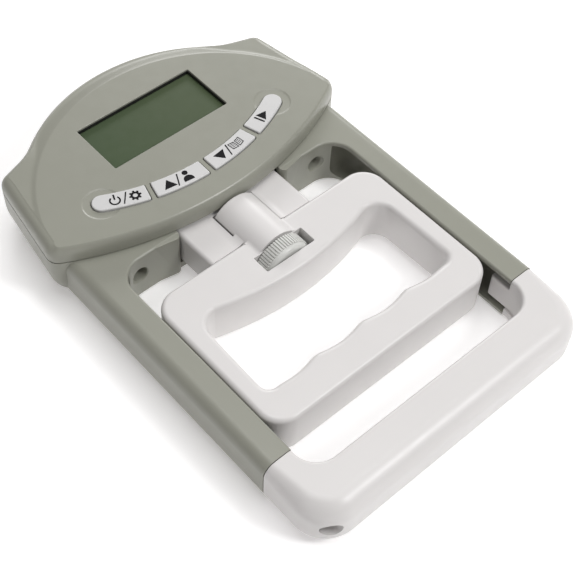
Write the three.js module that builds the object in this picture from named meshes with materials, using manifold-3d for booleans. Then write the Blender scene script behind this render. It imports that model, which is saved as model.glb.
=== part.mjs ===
// Electronic hand dynamometer. Millimetres, +Z up out of the display side, +Y towards the display.
// Heights start at the back plane. Lengths along Y start at the seam between the legs and the
// outer handle, and the whole object is moved at the end so that its origin is the middle of its back.

import * as THREE from 'three';
import { mergeVertices } from 'three/addons/utils/BufferGeometryUtils.js';
import Module from 'manifold-3d';

const wasm = await Module();
wasm.setup();

// ---------------------------------------------------------------- driving dimensions

const gap = 0.3;                 // clearance between neighbouring pieces
const wall = 2.2;                // wall of the mouldings

const frameTop = 19.6;           // height of the legs and the casing
const legInner = 49.0;           // half the distance between the legs
const legOuter = 60.0;           // half the width across the legs
const legRound = 4.4;            // rounding of the legs' upper outer edges
const legUnderRound = 6.4;       // and of their lower ones
const hullRise = 14;             // height over which the head's sides curve in to the back
const hullSide = 8;              // how far they curve in, at the sides
const hullTop = 4.4;             // and round the top of the head
const edgeRound = 0.8;           // rounding of the small edges
const wallY = 86.9;              // front wall of the casing, between the legs
const webEndY = 112;             // how far the legs' plate runs on into the head
const channelX = [43.2, 57.8];   // the channel inside each leg
const channelEndY = 85.4;
const flange = 1.8;              // the channel's upper and lower wall
const notchRound = 9;            // corners where the front wall meets the legs

const domeY = 98.0;              // centre of the round top of the head
const domeRadius = 65.7;
const domeHalfAngle = 37;        // degrees of the round top on each side of the middle
const domeEnd = domeY + domeRadius;
const shoulder = [45.1, 146.0];  // where the dome runs out into the corner
const ear = [58.3, 141.7];       // upper corner of the head
const jaw = [64.0, 103.2];       // lower corner of the head
const browRadius = 128.4;        // front edge of the cover
const browY = 86.2;              // front edge of the cover, in the middle

const coverBase = frameTop + gap;
const rimTop = 25.4;             // outer rim of the cover
const faceTop = 26.5;            // raised face of the cover
const faceReach = [60.8, 57.6];  // the raised face's edge, an ellipse about the dome's centre

const barInnerY = -10.0;         // outer handle's bar
const barOuterY = -26.8;
const barCorner = 13;

const grip = { x: 48.5, y0: 6.9, y1: 69.9, z0: 3.0, corner: 8.8 };
const holeX = 41.0;              // half width of the finger opening
const holeTopY = 49.5;           // its upper edge, in the middle
const holeSideY = 54.6;          // its upper edge, at the sides
const grooveY = 19.8;            // bottom of the finger grooves
const grooveDepth = 1.8;
const groovePitch = 20.2;

const axisZ = 12.2;              // adjusting screw's axis
const barrelRadius = 10.7;
const knobRadius = 10.3;
const knobY = [55.6, 62.1];
const slotX = 10.5;              // window for the wheel
const slotY = [55.2, 62.4];
const screwRadius = 2.9;
const screwY = [52.4, 105.6];
const sleeveRadius = 4.0;        // nut's sleeve in the neck block
const barrelEndY = 85.6;

const blockX = 22.5;             // half width of the neck block
const blockY = [70.2, 96.0];
const blockZ = [4.4, 18.1];
const shoulderRound = 1.6;
const neckOpening = 23.0;

const screenX = 25.0;            // half the display window
const screenY = [119.1, 142.1];
const keyArcY = 182.8;           // centre of the arc of keys
const keyInner = 79.4;
const keyOuter = 86.4;

const midY = (domeEnd + barOuterY) / 2;

// ---------------------------------------------------------------- materials

const paint = (color, roughness, metalness = 0) =>
  new THREE.MeshStandardMaterial({ color, roughness, metalness });
const greyPlastic = paint(0xa3a397, 0.55);
const whitePlastic = paint(0xe5e4e2, 0.45);
const keyPlastic = paint(0xf1f1f0, 0.4);
const wheelPlastic = paint(0xcfcfca, 0.45);
const blackPlastic = paint(0x1a1a1a, 0.5);
const displayGlass = paint(0x58674e, 0.15);
const board = paint(0x2f6b3a, 0.5);
const siliconeRubber = paint(0x8f8f8a, 0.8);
const steel = paint(0xb9bcc0, 0.3, 1);
const brass = paint(0xc9a85a, 0.3, 1);
const aluminium = paint(0xc5c8cc, 0.4, 1);
const cellSleeve = paint(0x3b5f8c, 0.35);
const redWire = paint(0xb02a24, 0.5);
const blackWire = paint(0x222222, 0.5);

// ---------------------------------------------------------------- solids

function toSolid(geometry) {
  const bare = geometry.clone();
  bare.deleteAttribute('normal');
  bare.deleteAttribute('uv');
  const merged = mergeVertices(bare, 1e-4);
  const triVerts = new Uint32Array(merged.index.array);
  const vertProperties = new Float32Array(merged.attributes.position.array);
  return new wasm.Manifold(new wasm.Mesh({ numProp: 3, vertProperties, triVerts }));
}

function toGeometry(solid) {
  const mesh = solid.getMesh();
  const geometry = new THREE.BufferGeometry();
  geometry.setAttribute('position', new THREE.BufferAttribute(new Float32Array(mesh.vertProperties), 3));
  geometry.setIndex(new THREE.BufferAttribute(new Uint32Array(mesh.triVerts), 1));
  geometry.computeVertexNormals();
  return geometry;
}

function combine(base, added = [], removed = []) {
  let solid = toSolid(base);
  for (const geometry of added) solid = solid.add(toSolid(geometry));
  for (const geometry of removed) solid = solid.subtract(toSolid(geometry));
  return toGeometry(solid);
}

const object = new THREE.Group();
object.position.y = -midY;

function add(name, geometry, material) {
  const mesh = new THREE.Mesh(geometry, material);
  mesh.name = name;
  object.add(mesh);
}

// ---------------------------------------------------------------- outlines

const radians = (degrees) => (degrees * Math.PI) / 180;

// An outline of corners [x, y, radius], with each corner replaced by an arc.
function outline(corners) {
  const points = [];
  corners.forEach(([x, y, radius = 0], i) => {
    const here = new THREE.Vector2(x, y);
    if (radius === 0) {
      points.push(here);
      return;
    }
    const before = corners[(i + corners.length - 1) % corners.length];
    const after = corners[(i + 1) % corners.length];
    const back = new THREE.Vector2(before[0] - x, before[1] - y).normalize();
    const ahead = new THREE.Vector2(after[0] - x, after[1] - y).normalize();
    const half = Math.acos(THREE.MathUtils.clamp(back.dot(ahead), -1, 1)) / 2;
    const start = here.clone().addScaledVector(back, radius / Math.tan(half));
    const middle = back.clone().add(ahead).normalize().multiplyScalar(radius / Math.sin(half)).add(here);
    const turn = Math.PI - 2 * half;
    const sense = Math.sign(ahead.x * back.y - ahead.y * back.x);
    const steps = Math.max(2, Math.ceil(turn / radians(20)));
    for (let k = 0; k <= steps; k += 1) {
      const point = start.clone().rotateAround(middle, (sense * turn * k) / steps);
      points.push(point);
    }
  });
  return points;
}

const mirrored = (points) => points.map(([x, y, ...rest]) => [-x, y, ...rest]).reverse();

function box(x0, x1, y0, y1, z0, z1) {
  const geometry = new THREE.BoxGeometry(x1 - x0, y1 - y0, z1 - z0);
  return geometry.translate((x0 + x1) / 2, (y0 + y1) / 2, (z0 + z1) / 2);
}

// The outline moved sideways into its material by a distance that may change from point to point.
function inset(points, distance) {
  return points.map((point, i) => {
    const before = points[(i + points.length - 1) % points.length];
    const after = points[(i + 1) % points.length];
    const a = point.clone().sub(before).normalize();
    const b = after.clone().sub(point).normalize();
    const normal = new THREE.Vector2(-a.y - b.y, a.x + b.x).divideScalar(1 + a.dot(b));
    return point.clone().addScaledVector(normal, distance(point));
  });
}

// A plate between two heights. Each edge is rounded by its own radius: a number or a function
// of the point, for the outline and for the holes.
function plate(contour, z0, z1, rounding = {}) {
  const { top = 0, bottom = 0, holes = [], holeTop = 0, holeBottom = 0, steps = 2 } = rounding;
  const asFunction = (radius) => (typeof radius === 'number' ? () => radius : radius);
  const loops = [contour, ...holes].map((loop, i) => {
    const clockwise = THREE.ShapeUtils.isClockWise(loop);
    const ordered = clockwise === (i > 0) ? loop : [...loop].reverse();
    const above = asFunction(i > 0 ? holeTop : top);
    const below = asFunction(i > 0 ? holeBottom : bottom);
    const rings = [];
    const ring = (radius, angle, height) => {
      const points = inset(ordered, (point) => radius(point) * (1 - Math.cos(angle)));
      rings.push(points.map((point, k) => {
        const lift = radius(ordered[k]) * (1 - Math.sin(angle));
        return new THREE.Vector3(point.x, point.y, height(lift));
      }));
    };
    for (let k = 0; k <= steps; k += 1) ring(below, (Math.PI / 2) * (1 - k / steps), (lift) => z0 + lift);
    for (let k = 0; k <= steps; k += 1) ring(above, ((Math.PI / 2) * k) / steps, (lift) => z1 - lift);
    return rings;
  });
  return skinned(loops);
}

// A closed solid through stacks of rings: the first stack is the outline and the others are holes.
function skinned(stacks) {
  const positions = [];
  const face = (...corners) => corners.forEach((corner) => positions.push(corner.x, corner.y, corner.z));
  for (const rings of stacks) {
    for (let r = 0; r + 1 < rings.length; r += 1) {
      const count = rings[r].length;
      for (let i = 0; i < count; i += 1) {
        const j = (i + 1) % count;
        face(rings[r][i], rings[r][j], rings[r + 1][j]);
        face(rings[r][i], rings[r + 1][j], rings[r + 1][i]);
      }
    }
  }
  for (const upper of [true, false]) {
    const caps = stacks.map((rings) => rings[upper ? rings.length - 1 : 0]);
    const flat = caps.map((ring) => ring.map((point) => new THREE.Vector2(point.x, point.y)));
    const all = caps.flat();
    for (const [a, b, c] of THREE.ShapeUtils.triangulateShape(flat[0], flat.slice(1))) {
      if (upper) face(all[a], all[b], all[c]);
      else face(all[a], all[c], all[b]);
    }
  }
  return cleaned(positions);
}

// A solid through outlines at rising heights, each an open run of points and its height.
function lofted(sections) {
  const divisions = 150;
  const rings = sections.map(([points, z]) => {
    const spaced = new THREE.Shape(points).getSpacedPoints(divisions);
    return spaced.map((point) => new THREE.Vector3(point.x, point.y, z));
  });
  return skinned([rings]);
}

// A closed geometry from loose triangles, without the ones that a zero radius leaves flat.
function cleaned(positions) {
  const loose = new THREE.BufferGeometry();
  loose.setAttribute('position', new THREE.Float32BufferAttribute(positions, 3));
  const geometry = mergeVertices(loose, 1e-4);
  const kept = [];
  const index = geometry.index.array;
  for (let i = 0; i < index.length; i += 3) {
    const [a, b, c] = index.slice(i, i + 3);
    if (a !== b && b !== c && c !== a) kept.push(a, b, c);
  }
  geometry.setIndex(kept);
  geometry.computeVertexNormals();
  return geometry;
}

// A round piece turned about an axis: pairs of distance along the axis and radius.
function turned(profile, axis, centre, segments = 24) {
  const points = profile.map(([along, radius]) => new THREE.Vector2(radius, along));
  const geometry = new THREE.LatheGeometry(points, segments);
  if (axis === 'x') geometry.rotateZ(-Math.PI / 2);
  if (axis === 'z') geometry.rotateX(Math.PI / 2);
  return geometry.translate(...centre);
}

const rod = (axis, radius, from, to, centre, segments = 24) =>
  turned([[from, 0], [from, radius], [to, radius], [to, 0]], axis, centre, segments);

// ---------------------------------------------------------------- outlines of the head and frame

function domePoints(radius, halfAngle) {
  const points = [];
  const steps = 16;
  for (let k = 0; k <= steps; k += 1) {
    const angle = radians(halfAngle * (1 - (2 * k) / steps));
    points.push([radius * Math.sin(angle), domeY + radius * Math.cos(angle)]);
  }
  return points;
}

// Right-hand corners of the head, from the jaw up to the dome, moved in by a distance.
const headSide = (by, sideBy = by) => [
  [jaw[0] - sideBy, jaw[1] + by * 0.3, 5 - by / 2],
  [ear[0] - sideBy, ear[1] - by, 4.5 - by / 2],
  [shoulder[0] - by * 0.4, shoulder[1] - by, 20],
];

function headTop(by, sideBy = by) {
  const side = headSide(by, sideBy);
  return [...side, ...domePoints(domeRadius - by, domeHalfAngle), ...mirrored(side)];
}

// The head of the rear casing, moved in by a wall: its sides curve in towards the back.
function headHull(wallBy, from, to) {
  const frontX = 57;
  const frontY = 99.5;
  const heights = [0, 0.06, 0.22, 0.5, 1].map((t) => t * hullRise).filter((z) => z > from);
  const sections = [from, ...heights, to].map((z) => {
    const t = Math.max(0, 1 - z / hullRise);
    const curve = 1 - Math.sqrt(1 - t * t);
    const by = wallBy + hullTop * curve;
    const sideBy = wallBy + hullSide * curve;
    const front = [frontX - sideBy, frontY + by];
    return [outline([front, ...headTop(by, sideBy), [-front[0], front[1]]]), z];
  });
  return lofted(sections);
}

// Front edge of the cover, a flat arc between the jaws.
function browPoints(by) {
  const centreY = browY + browRadius;
  const radius = browRadius - by;
  const steps = 14;
  const reach = Math.asin((jaw[0] - 6) / browRadius);
  const points = [];
  for (let k = 0; k <= steps; k += 1) {
    const angle = reach * ((2 * k) / steps - 1);
    points.push([radius * Math.sin(angle), centreY - radius * Math.cos(angle)]);
  }
  return points;
}

// ---------------------------------------------------------------- rear casing with the two legs

const floorTop = 2.0;            // inside floor of the head
const bayX = 29.5;               // battery compartment
const bayY = [127.7, 150.3];
const bayTop = 14.6;
const bayWall = 1.4;
const doorX = 26.0;              // opening for the battery door
const doorY = [128.6, 149.4];
const caseScrews = [[53, 112], [-53, 112], [37, 143], [-37, 143]];
const bossRadius = 4;
const wallScrewX = 40;           // screws in the front wall
const wallScrewZ = 10.6;
const wallBossEndY = 99;
const cellBossX = [-38.5, -31.5];
const cellY = [111, 123.2];      // load cell
const cellMiddleY = (cellY[0] + cellY[1]) / 2;
const cellZ = [6.8, 15.6];
const threadHole = 1.9;          // for a screw with a shank of 1.6
const below = -1;                // heights and places well clear of the material, for cutting
const above = 30;

function rearCasing() {
  const belowSeam = -6;
  const frame = outline([
    [-legInner, wallY, notchRound],
    [-legInner, belowSeam],
    [-legOuter, belowSeam],
    [-legOuter, webEndY],
    [legOuter, webEndY],
    [legOuter, belowSeam],
    [legInner, belowSeam],
    [legInner, wallY, notchRound],
  ]);
  const outside = (point) => point.y > wallY + 1 || Math.abs(point.x) > legInner + 1;
  const topRound = (point) => (outside(point) ? legRound : edgeRound);
  const bottomRound = (point) => (outside(point) ? legUnderRound : edgeRound);
  const legs = plate(frame, 0, frameTop, { top: topRound, bottom: bottomRound, steps: 3 });

  const cavityX = legOuter - wall - 0.2;
  const cavityRound = legUnderRound - wall;
  const webCavity = plate(outline([
    [-cavityX, wallY + wall, cavityRound + 0.2],
    [cavityX, wallY + wall, cavityRound + 0.2],
    [cavityX, webEndY],
    [-cavityX, webEndY],
  ]), floorTop, frameTop - wall, { bottom: cavityRound, steps: 3 });
  const headCavity = headHull(wall, floorTop, above);
  const mouth = plate(outline([...browPoints(wall), ...headTop(wall + 0.5)]), frameTop - wall - 1, above);
  const hollowed = combine(legs, [headHull(0, 0, frameTop)], [webCavity, headCavity, mouth]);

  const bosses = caseScrews.map(([x, y]) => rod('z', bossRadius, 1, frameTop, [x, y, 0], 16));
  const cellBosses = cellBossX.map((x) => rod('z', 3.6, 1, cellZ[0] - gap, [x, cellMiddleY, 0], 16));
  const wallBosses = [-1, 1].map((side) =>
    rod('y', bossRadius, wallY + 1, wallBossEndY, [side * wallScrewX, 0, wallScrewZ], 16));
  const bay = combine(
    box(-bayX - bayWall, bayX + bayWall, bayY[0] - bayWall, bayY[1] + bayWall, 1, bayTop),
    [],
    [box(-bayX, bayX, bayY[0], bayY[1], 0, above)],
  );

  const channels = [-1, 1].map((side) => {
    const corners = outline([
      [channelX[0] * side, belowSeam - 2],
      [channelX[1] * side, belowSeam - 2],
      [channelX[1] * side, channelEndY, 6],
      [channelX[0] * side, channelEndY, 5],
    ]);
    return plate(corners, flange, frameTop - flange, { bottom: cavityRound });
  });
  const screwWays = caseScrews.flatMap(([x, y]) => [
    rod('z', threadHole, below, frameTop + 1, [x, y, 0], 12),
    rod('z', 3.2, below, 3.2, [x, y, 0], 16),
  ]);
  const cellWays = cellBossX.map((x) => rod('z', threadHole, 1.4, cellZ[0], [x, cellMiddleY, 0], 12));
  const wallWays = [-1, 1].flatMap((side) => {
    const centre = [side * wallScrewX, 0, wallScrewZ];
    const countersink = [[wallY - 1, 0], [wallY - 1, 4.6], [wallY + 1.2, 2.4], [wallY + 1.2, 0]];
    return [
      rod('y', 2.6, wallY - 1, wallBossEndY - 2.8, centre, 16),
      rod('y', 1.7, wallY + 3, wallBossEndY + 1, centre, 12),
      turned(countersink, 'y', centre, 20),
    ];
  });
  return combine(hollowed, [...bosses, ...cellBosses, ...wallBosses, bay], [
    ...channels,
    ...screwWays,
    ...cellWays,
    ...wallWays,
    box(-legOuter - 5, legOuter + 5, belowSeam - 5, 0, below, above),
    box(-neckOpening, neckOpening, wallY - 5, wallY + wall + 3, 3.4, above),
    box(-doorX, doorX, doorY[0], doorY[1], below, 6),
  ]);
}
add('rear_casing', rearCasing(), greyPlastic);

// ---------------------------------------------------------------- front cover

const keyAngles = [[-27.4, -16.2], [-14.7, -0.8], [0.8, 14.7], [16.2, 27.4]];

// An outline along the arc of keys, between two angles, grown by a distance. A round end closes
// the outer end of the first and the last key.
function keyOutline(from, to, grow) {
  const inner = keyInner - grow;
  const outer = keyOuter + grow;
  const middle = (inner + outer) / 2;
  const half = (outer - inner) / 2;
  const edge = THREE.MathUtils.radToDeg(grow / middle);
  const at = (radius, degrees) =>
    new THREE.Vector2(radius * Math.sin(radians(degrees)), keyArcY - radius * Math.cos(radians(degrees)));
  const roundStart = from < -20;
  const roundEnd = to > 20;
  const start = roundStart ? from : from - edge;
  const end = roundEnd ? to : to + edge;
  const points = [];
  const steps = 5;
  for (let k = 0; k <= steps; k += 1) points.push(at(outer, start + ((end - start) * k) / steps));
  const cap = (degrees, sense) => {
    const centre = at(middle, degrees);
    for (let k = 1; k < 8; k += 1) {
      points.push(at(middle + sense * half, degrees).rotateAround(centre, (Math.PI * k) / 8));
    }
  };
  if (roundEnd) cap(end, 1);
  for (let k = 0; k <= steps; k += 1) points.push(at(inner, end - ((end - start) * k) / steps));
  if (roundStart) cap(start, -1);
  return points;
}

const faceRound = 1.1;           // front edge of the raised face
const windowLedge = 1.4;         // the bezel's seat around the display window

// The rim's slab with the raised face on it: an ellipse that runs out over the front edge.
function frontCover() {
  const slab = plate(outline([...browPoints(0), ...headTop(0)]), coverBase, rimTop, { top: 1.6 });
  const ellipse = [];
  for (let k = 0; k < 56; k += 1) {
    const angle = (Math.PI * 2 * k) / 56;
    ellipse.push(new THREE.Vector2(faceReach[0] * Math.cos(angle), domeY + faceReach[1] * Math.sin(angle)));
  }
  const oval = plate(ellipse, coverBase + 1, faceTop, { top: faceRound });
  const front = plate(outline([...browPoints(0), ...headTop(gap)]), coverBase, faceTop, { top: faceRound });
  const face = toGeometry(toSolid(oval).intersect(toSolid(front)));

  const hollow = outline([...browPoints(wall), ...headTop(wall)]);
  const inside = plate(hollow, coverBase - 1, faceTop - wall, { top: 1 });
  const posts = caseScrews.map(([x, y]) => rod('z', 3.6, coverBase, faceTop - 2, [x, y, 0], 16));
  const keyWays = keyAngles.map(([from, to]) => plate(keyOutline(from, to, gap), frameTop, above));
  const seatX = screenX + windowLedge;
  const seatY = [screenY[0] - windowLedge, screenY[1] + windowLedge];
  return combine(combine(slab, [face], [inside]), posts, [
    box(-screenX, screenX, screenY[0], screenY[1], frameTop, above),
    box(-seatX, seatX, seatY[0], seatY[1], frameTop, faceTop - 0.6),
    ...keyWays,
    ...caseScrews.map(([x, y]) => rod('z', 1.3, 15, faceTop - 2.6, [x, y, 0], 10)),
  ]);
}
add('front_cover', frontCover(), greyPlastic);

// ---------------------------------------------------------------- outer handle

const tongueX = [49.8, 56.8];    // tongues that plug into the legs' channels
const tongueEnd = 8.6;
const tongueInset = 4.0;         // above and below a tongue
const barInnerCorner = 8.8;
const barRound = 7.4;            // rounding of the bar's edges
const handleScrewX = 54.0;
const handleHeadY = -18.5;       // outer end of the screw that holds the handle

// A shallow groove that carries the tongue's face on round the inner corner.
function cornerGroove(side) {
  const [x, y] = [legInner - barInnerCorner, barInnerY + barInnerCorner];
  const arc = (radius, start, end) => {
    const steps = 8;
    return Array.from({ length: steps + 1 }, (_, k) => {
      const angle = THREE.MathUtils.degToRad(start + ((end - start) * k) / steps);
      return [(x + radius * Math.cos(angle)) * side, y + radius * Math.sin(angle)];
    });
  };
  const open = barInnerCorner - 1;
  const sunk = tongueX[0] - x;
  return plate(outline([
    [(x + open) * side, 1],
    ...arc(open, 0, -80),
    ...arc(sunk, -72, 0),
    [(x + sunk) * side, 1],
  ]), tongueInset, frameTop - tongueInset);
}

function outerHandle() {
  const overSeam = 3;
  const contour = outline([
    [-legOuter, overSeam],
    [-legOuter, barOuterY, barCorner],
    [legOuter, barOuterY, barCorner],
    [legOuter, overSeam],
    [legInner, overSeam],
    [legInner, barInnerY, barInnerCorner],
    [-legInner, barInnerY, barInnerCorner],
    [-legInner, overSeam],
  ]);
  const outside = (point) => Math.abs(point.x) > legInner + 0.5 || point.y < barInnerY - 0.5;
  const round = (point) => {
    if (!outside(point)) return 1.4;
    return THREE.MathUtils.lerp(legRound, barRound, THREE.MathUtils.smoothstep(-point.y, 2, 22));
  };
  const bar = plate(contour, 0, frameTop, { top: round, bottom: round, steps: 3 });
  const trimmed = combine(bar, [], [box(-legOuter - 5, legOuter + 5, -gap, overSeam + 1, below, above)]);
  const tongues = [-1, 1].map((side) =>
    plate(outline([
      [tongueX[0] * side, -3],
      [tongueX[1] * side, -3],
      [tongueX[1] * side, tongueEnd, 2],
      [tongueX[0] * side, tongueEnd, 1],
    ]), tongueInset, frameTop - tongueInset));
  const ways = [-1, 1].flatMap((side) => {
    const centre = [side * handleScrewX, 0, frameTop / 2];
    return [
      rod('y', 3.1, barOuterY - 10, handleHeadY + 4.5, centre, 16),
      rod('y', threadHole, handleHeadY + 2, tongueEnd + 3, centre, 12),
    ];
  });
  return combine(trimmed, tongues, [cornerGroove(-1), cornerGroove(1), ...ways]);
}
add('outer_handle', outerHandle(), whitePlastic);

// ---------------------------------------------------------------- inner handle

// The finger opening: an upper edge that sags in the middle and a lower edge of four finger grooves.
function fingerOpening() {
  const upper = [];
  const upperReach = 33.5;
  const upperSteps = 12;
  for (let k = 0; k <= upperSteps; k += 1) {
    const t = 1 - (2 * k) / upperSteps;
    upper.push([upperReach * t, holeTopY + (holeSideY - holeTopY) * t * t]);
  }
  const lower = [];
  const lowerReach = 36.5;
  const lowerSteps = 44;
  const crestSoftness = 0.28;
  for (let k = 0; k <= lowerSteps; k += 1) {
    const x = lowerReach * ((2 * k) / lowerSteps - 1);
    const wave = Math.hypot(Math.sin((Math.PI * x) / groovePitch), crestSoftness);
    const fade = THREE.MathUtils.smoothstep(Math.abs(x), 30.5, lowerReach) / 2;
    const crest = Math.hypot(1, crestSoftness) - wave;
    lower.push([x, grooveY + grooveDepth * crest * (1 - fade)]);
  }
  return outline([
    [holeX - 0.4, holeSideY + 0.2, 6.5],
    ...upper,
    [-holeX + 0.4, holeSideY + 0.2, 6.5],
    [-holeX, grooveY + 0.3, 3.5],
    ...lower,
    [holeX, grooveY + 0.3, 3.5],
  ]);
}

function innerHandle() {
  const contour = outline([
    [-grip.x, grip.y0, grip.corner],
    [grip.x, grip.y0, grip.corner],
    [grip.x, grip.y1, grip.corner],
    [-grip.x, grip.y1, grip.corner],
  ]);
  const holeRound = (point) => (point.y < grooveY + 10 ? 2.6 : 1.6);
  const ring = plate(contour, grip.z0, frameTop, {
    top: 1.5,
    bottom: 1.5,
    holes: [fingerOpening()],
    holeTop: holeRound,
    holeBottom: holeRound,
  });
  const barrel = rod('y', barrelRadius, slotY[1] - 4, barrelEndY, [0, 0, axisZ], 32);
  return combine(ring, [barrel], [
    box(-slotX, slotX, slotY[0], slotY[1], below, above),
    rod('y', screwRadius + gap, screwY[0] - 0.6, barrelEndY + 5, [0, 0, axisZ], 20),
  ]);
}
add('inner_handle', innerHandle(), whitePlastic);

// ---------------------------------------------------------------- neck block, wheel and screw

// One block behind the barrel, with a shoulder on each side of it. The barrel slides between them.
function neckBlock() {
  const section = outline([
    [-blockX, blockZ[0], 1],
    [blockX, blockZ[0], 1],
    [blockX, blockZ[1], shoulderRound],
    [-blockX, blockZ[1], shoulderRound],
  ]);
  const block = plate(section, -blockY[1], -blockY[0]).rotateX(Math.PI / 2);
  return combine(block, [], [
    rod('y', barrelRadius + gap, blockY[0] - 5, barrelEndY + 2 * gap, [0, 0, axisZ], 40),
    rod('y', sleeveRadius + gap, barrelEndY - 5, blockY[1] + 5, [0, 0, axisZ], 20),
  ]);
}
add('neck_block', neckBlock(), whitePlastic);

function adjustingWheel() {
  const teeth = 44;
  const toothDepth = 0.45;
  const contour = [];
  for (let k = 0; k < teeth * 2; k += 1) {
    const angle = (Math.PI * k) / teeth;
    const radius = k % 2 === 0 ? knobRadius : knobRadius - toothDepth;
    contour.push(new THREE.Vector2(radius * Math.cos(angle), radius * Math.sin(angle)));
  }
  const wheel = plate(contour, -knobY[1], -knobY[0], { top: 0.9, bottom: 0.4, steps: 2 });
  wheel.rotateX(Math.PI / 2).translate(0, 0, axisZ);
  return combine(wheel, [], [rod('y', screwRadius + gap, knobY[0] - 5, knobY[1] + 5, [0, 0, axisZ], 20)]);
}
add('adjusting_wheel', adjustingWheel(), wheelPlastic);

// The thread is left out: the screw is as thick as the thread's crests.
function adjustingScrew() {
  const chamfer = 0.6;
  const [from, to] = screwY;
  return turned([
    [from, 0],
    [from, screwRadius - chamfer],
    [from + chamfer, screwRadius],
    [to - chamfer, screwRadius],
    [to, screwRadius - chamfer],
    [to, 0],
  ], 'y', [0, 0, axisZ], 20);
}
add('adjusting_screw', adjustingScrew(), steel);

const nutProfile = [
  [89, screwRadius + gap], [89, sleeveRadius], [98.1, sleeveRadius], [98.1, 4.9], [101, 4.9],
  [101, screwRadius + gap], [89, screwRadius + gap],
];
add('neck_nut', turned(nutProfile, 'y', [0, 0, axisZ], 16), brass);

// ---------------------------------------------------------------- load cell and its strap

const strap = { x: 6, y0: blockY[1] + gap, y1: 125.1, z0: 5.0, z1: 18.6, thickness: 1.2 };

function pullStrap() {
  const t = strap.thickness;
  const body = box(-strap.x, strap.x, strap.y0, strap.y1, strap.z0, strap.z1);
  return combine(body, [], [
    box(-strap.x - 1, strap.x + 1, strap.y0 + t, strap.y1 - t, strap.z0 + t, strap.z1 - t),
    rod('y', sleeveRadius + gap, strap.y0 - 5, strap.y0 + 5, [0, 0, axisZ], 20),
  ]);
}
add('pull_strap', pullStrap(), steel);

const cellX = [-43, 9];
const cellWindowX = [-23.5, -12.5];
const cellWindowRadius = 4.4;

// A bar with two round windows joined by a slot, so that it bends between them.
function loadCell() {
  const bar = box(cellX[0], cellX[1], cellY[0], cellY[1], cellZ[0], cellZ[1]);
  const windows = cellWindowX.map((x) => rod('z', cellWindowRadius, 0, above, [x, cellMiddleY, 0], 24));
  const slot = box(cellWindowX[0], cellWindowX[1], cellMiddleY - 1.4, cellMiddleY + 1.4, 0, above);
  const holes = cellBossX.map((x) => rod('z', threadHole, 0, above, [x, cellMiddleY, 0], 12));
  return combine(bar, [], [...windows, slot, ...holes]);
}
add('load_cell', loadCell(), aluminium);

const gaugeX = [-21.5, -14.5];
const gaugeZ = [8.5, 13.5];
const gaugeThickness = 0.4;
const gaugeFront = cellY[0] - gap;
const gaugeBack = cellY[1] + gap;
add('strain_gauge_front', box(...gaugeX, gaugeFront - gaugeThickness, gaugeFront, ...gaugeZ), brass);
add('strain_gauge_back', box(...gaugeX, gaugeBack, gaugeBack + gaugeThickness, ...gaugeZ), brass);
cellBossX.forEach((x, i) => {
  const head = cellZ[1] + gap;
  const profile = [
    [2.2, 0], [2.2, 1.6], [head, 1.6], [head, 3], [head + 1.5, 3], [head + 2.1, 2.4], [head + 2.1, 0],
  ];
  add(`load_cell_screw_${i + 1}`, turned(profile, 'z', [x, cellMiddleY, 0], 16), steel);
});

// ---------------------------------------------------------------- display, keys and circuit board

const displayMargin = 1.1;       // display and bezel, around the window
const displayX = screenX + displayMargin;
const displayY = [screenY[0] - displayMargin, screenY[1] + displayMargin];
const bezelLip = 0.1;
add('lcd_bezel', combine(
  box(-displayX, displayX, ...displayY, 24.8, faceTop - 0.9),
  [],
  [box(-screenX + bezelLip, screenX - bezelLip, screenY[0] + bezelLip, screenY[1] - bezelLip, 20, above)],
), blackPlastic);
add('lcd_glass', box(-displayX, displayX, ...displayY, 22.1, 24.5), displayGlass);
const connectorY = [screenY[0] - 0.5, screenY[0] + 1.8];
add('lcd_connector', box(-screenX + 2, screenX - 2, ...connectorY, 20.4, 21.8), siliconeRubber);

const boardZ = [18.9, 20.1];
const boardScrews = [[42, 104], [-42, 104]];

function circuitBoard() {
  const side = [[24, 94, 2], [46, 101, 2], [46, 116, 2], [30, 142, 2]];
  const holes = boardScrews.map(([x, y]) => rod('z', 1.6, 0, above, [x, y, 0], 12));
  return combine(plate(outline([...side, ...mirrored(side)]), boardZ[0], boardZ[1]), [], holes);
}
add('circuit_board', circuitBoard(), board);
boardScrews.forEach(([x, y], i) => {
  const head = boardZ[0] - gap;
  const profile = [[head - 1.7, 0], [head - 1.7, 2.4], [head, 2.4], [head, 1.3], [21.4, 1.3], [21.4, 0]];
  add(`board_screw_${i + 1}`, turned(profile, 'z', [x, y, 0], 14), steel);
});

const padZ = [20.5, 21.5];
function keyPad() {
  const strip = plate(keyOutline(keyAngles[0][0], keyAngles[3][1], 0.6), ...padZ);
  const domes = keyAngles.map(([from, to]) => {
    const angle = radians((from + to) / 2);
    const radius = (keyInner + keyOuter) / 2;
    const profile = [[padZ[0] + 0.5, 0], [padZ[0] + 0.5, 2.8], [padZ[1] + 0.7, 2.0], [padZ[1] + 0.7, 0]];
    return turned(profile, 'z', [radius * Math.sin(angle), keyArcY - radius * Math.cos(angle), 0], 16);
  });
  return combine(strip, domes);
}
add('key_pad', keyPad(), siliconeRubber);

const keyNames = ['power_key', 'up_key', 'down_key', 'start_key'];
const keyBase = 23.0;
const keyTop = 27.1;
keyAngles.forEach(([from, to], i) => {
  const cap = plate(keyOutline(from, to, 0), keyBase, keyTop, { top: 0.5 });
  const collar = plate(keyOutline(from, to, 0.8), keyBase, keyBase + 0.9);
  add(keyNames[i], combine(cap, [collar]), keyPlastic);
});

// ---------------------------------------------------------------- batteries and their door

const batteryRadius = 5.2;
const batteryZ = 8.4;
const batteryRows = [133.2, 144.8];

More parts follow.
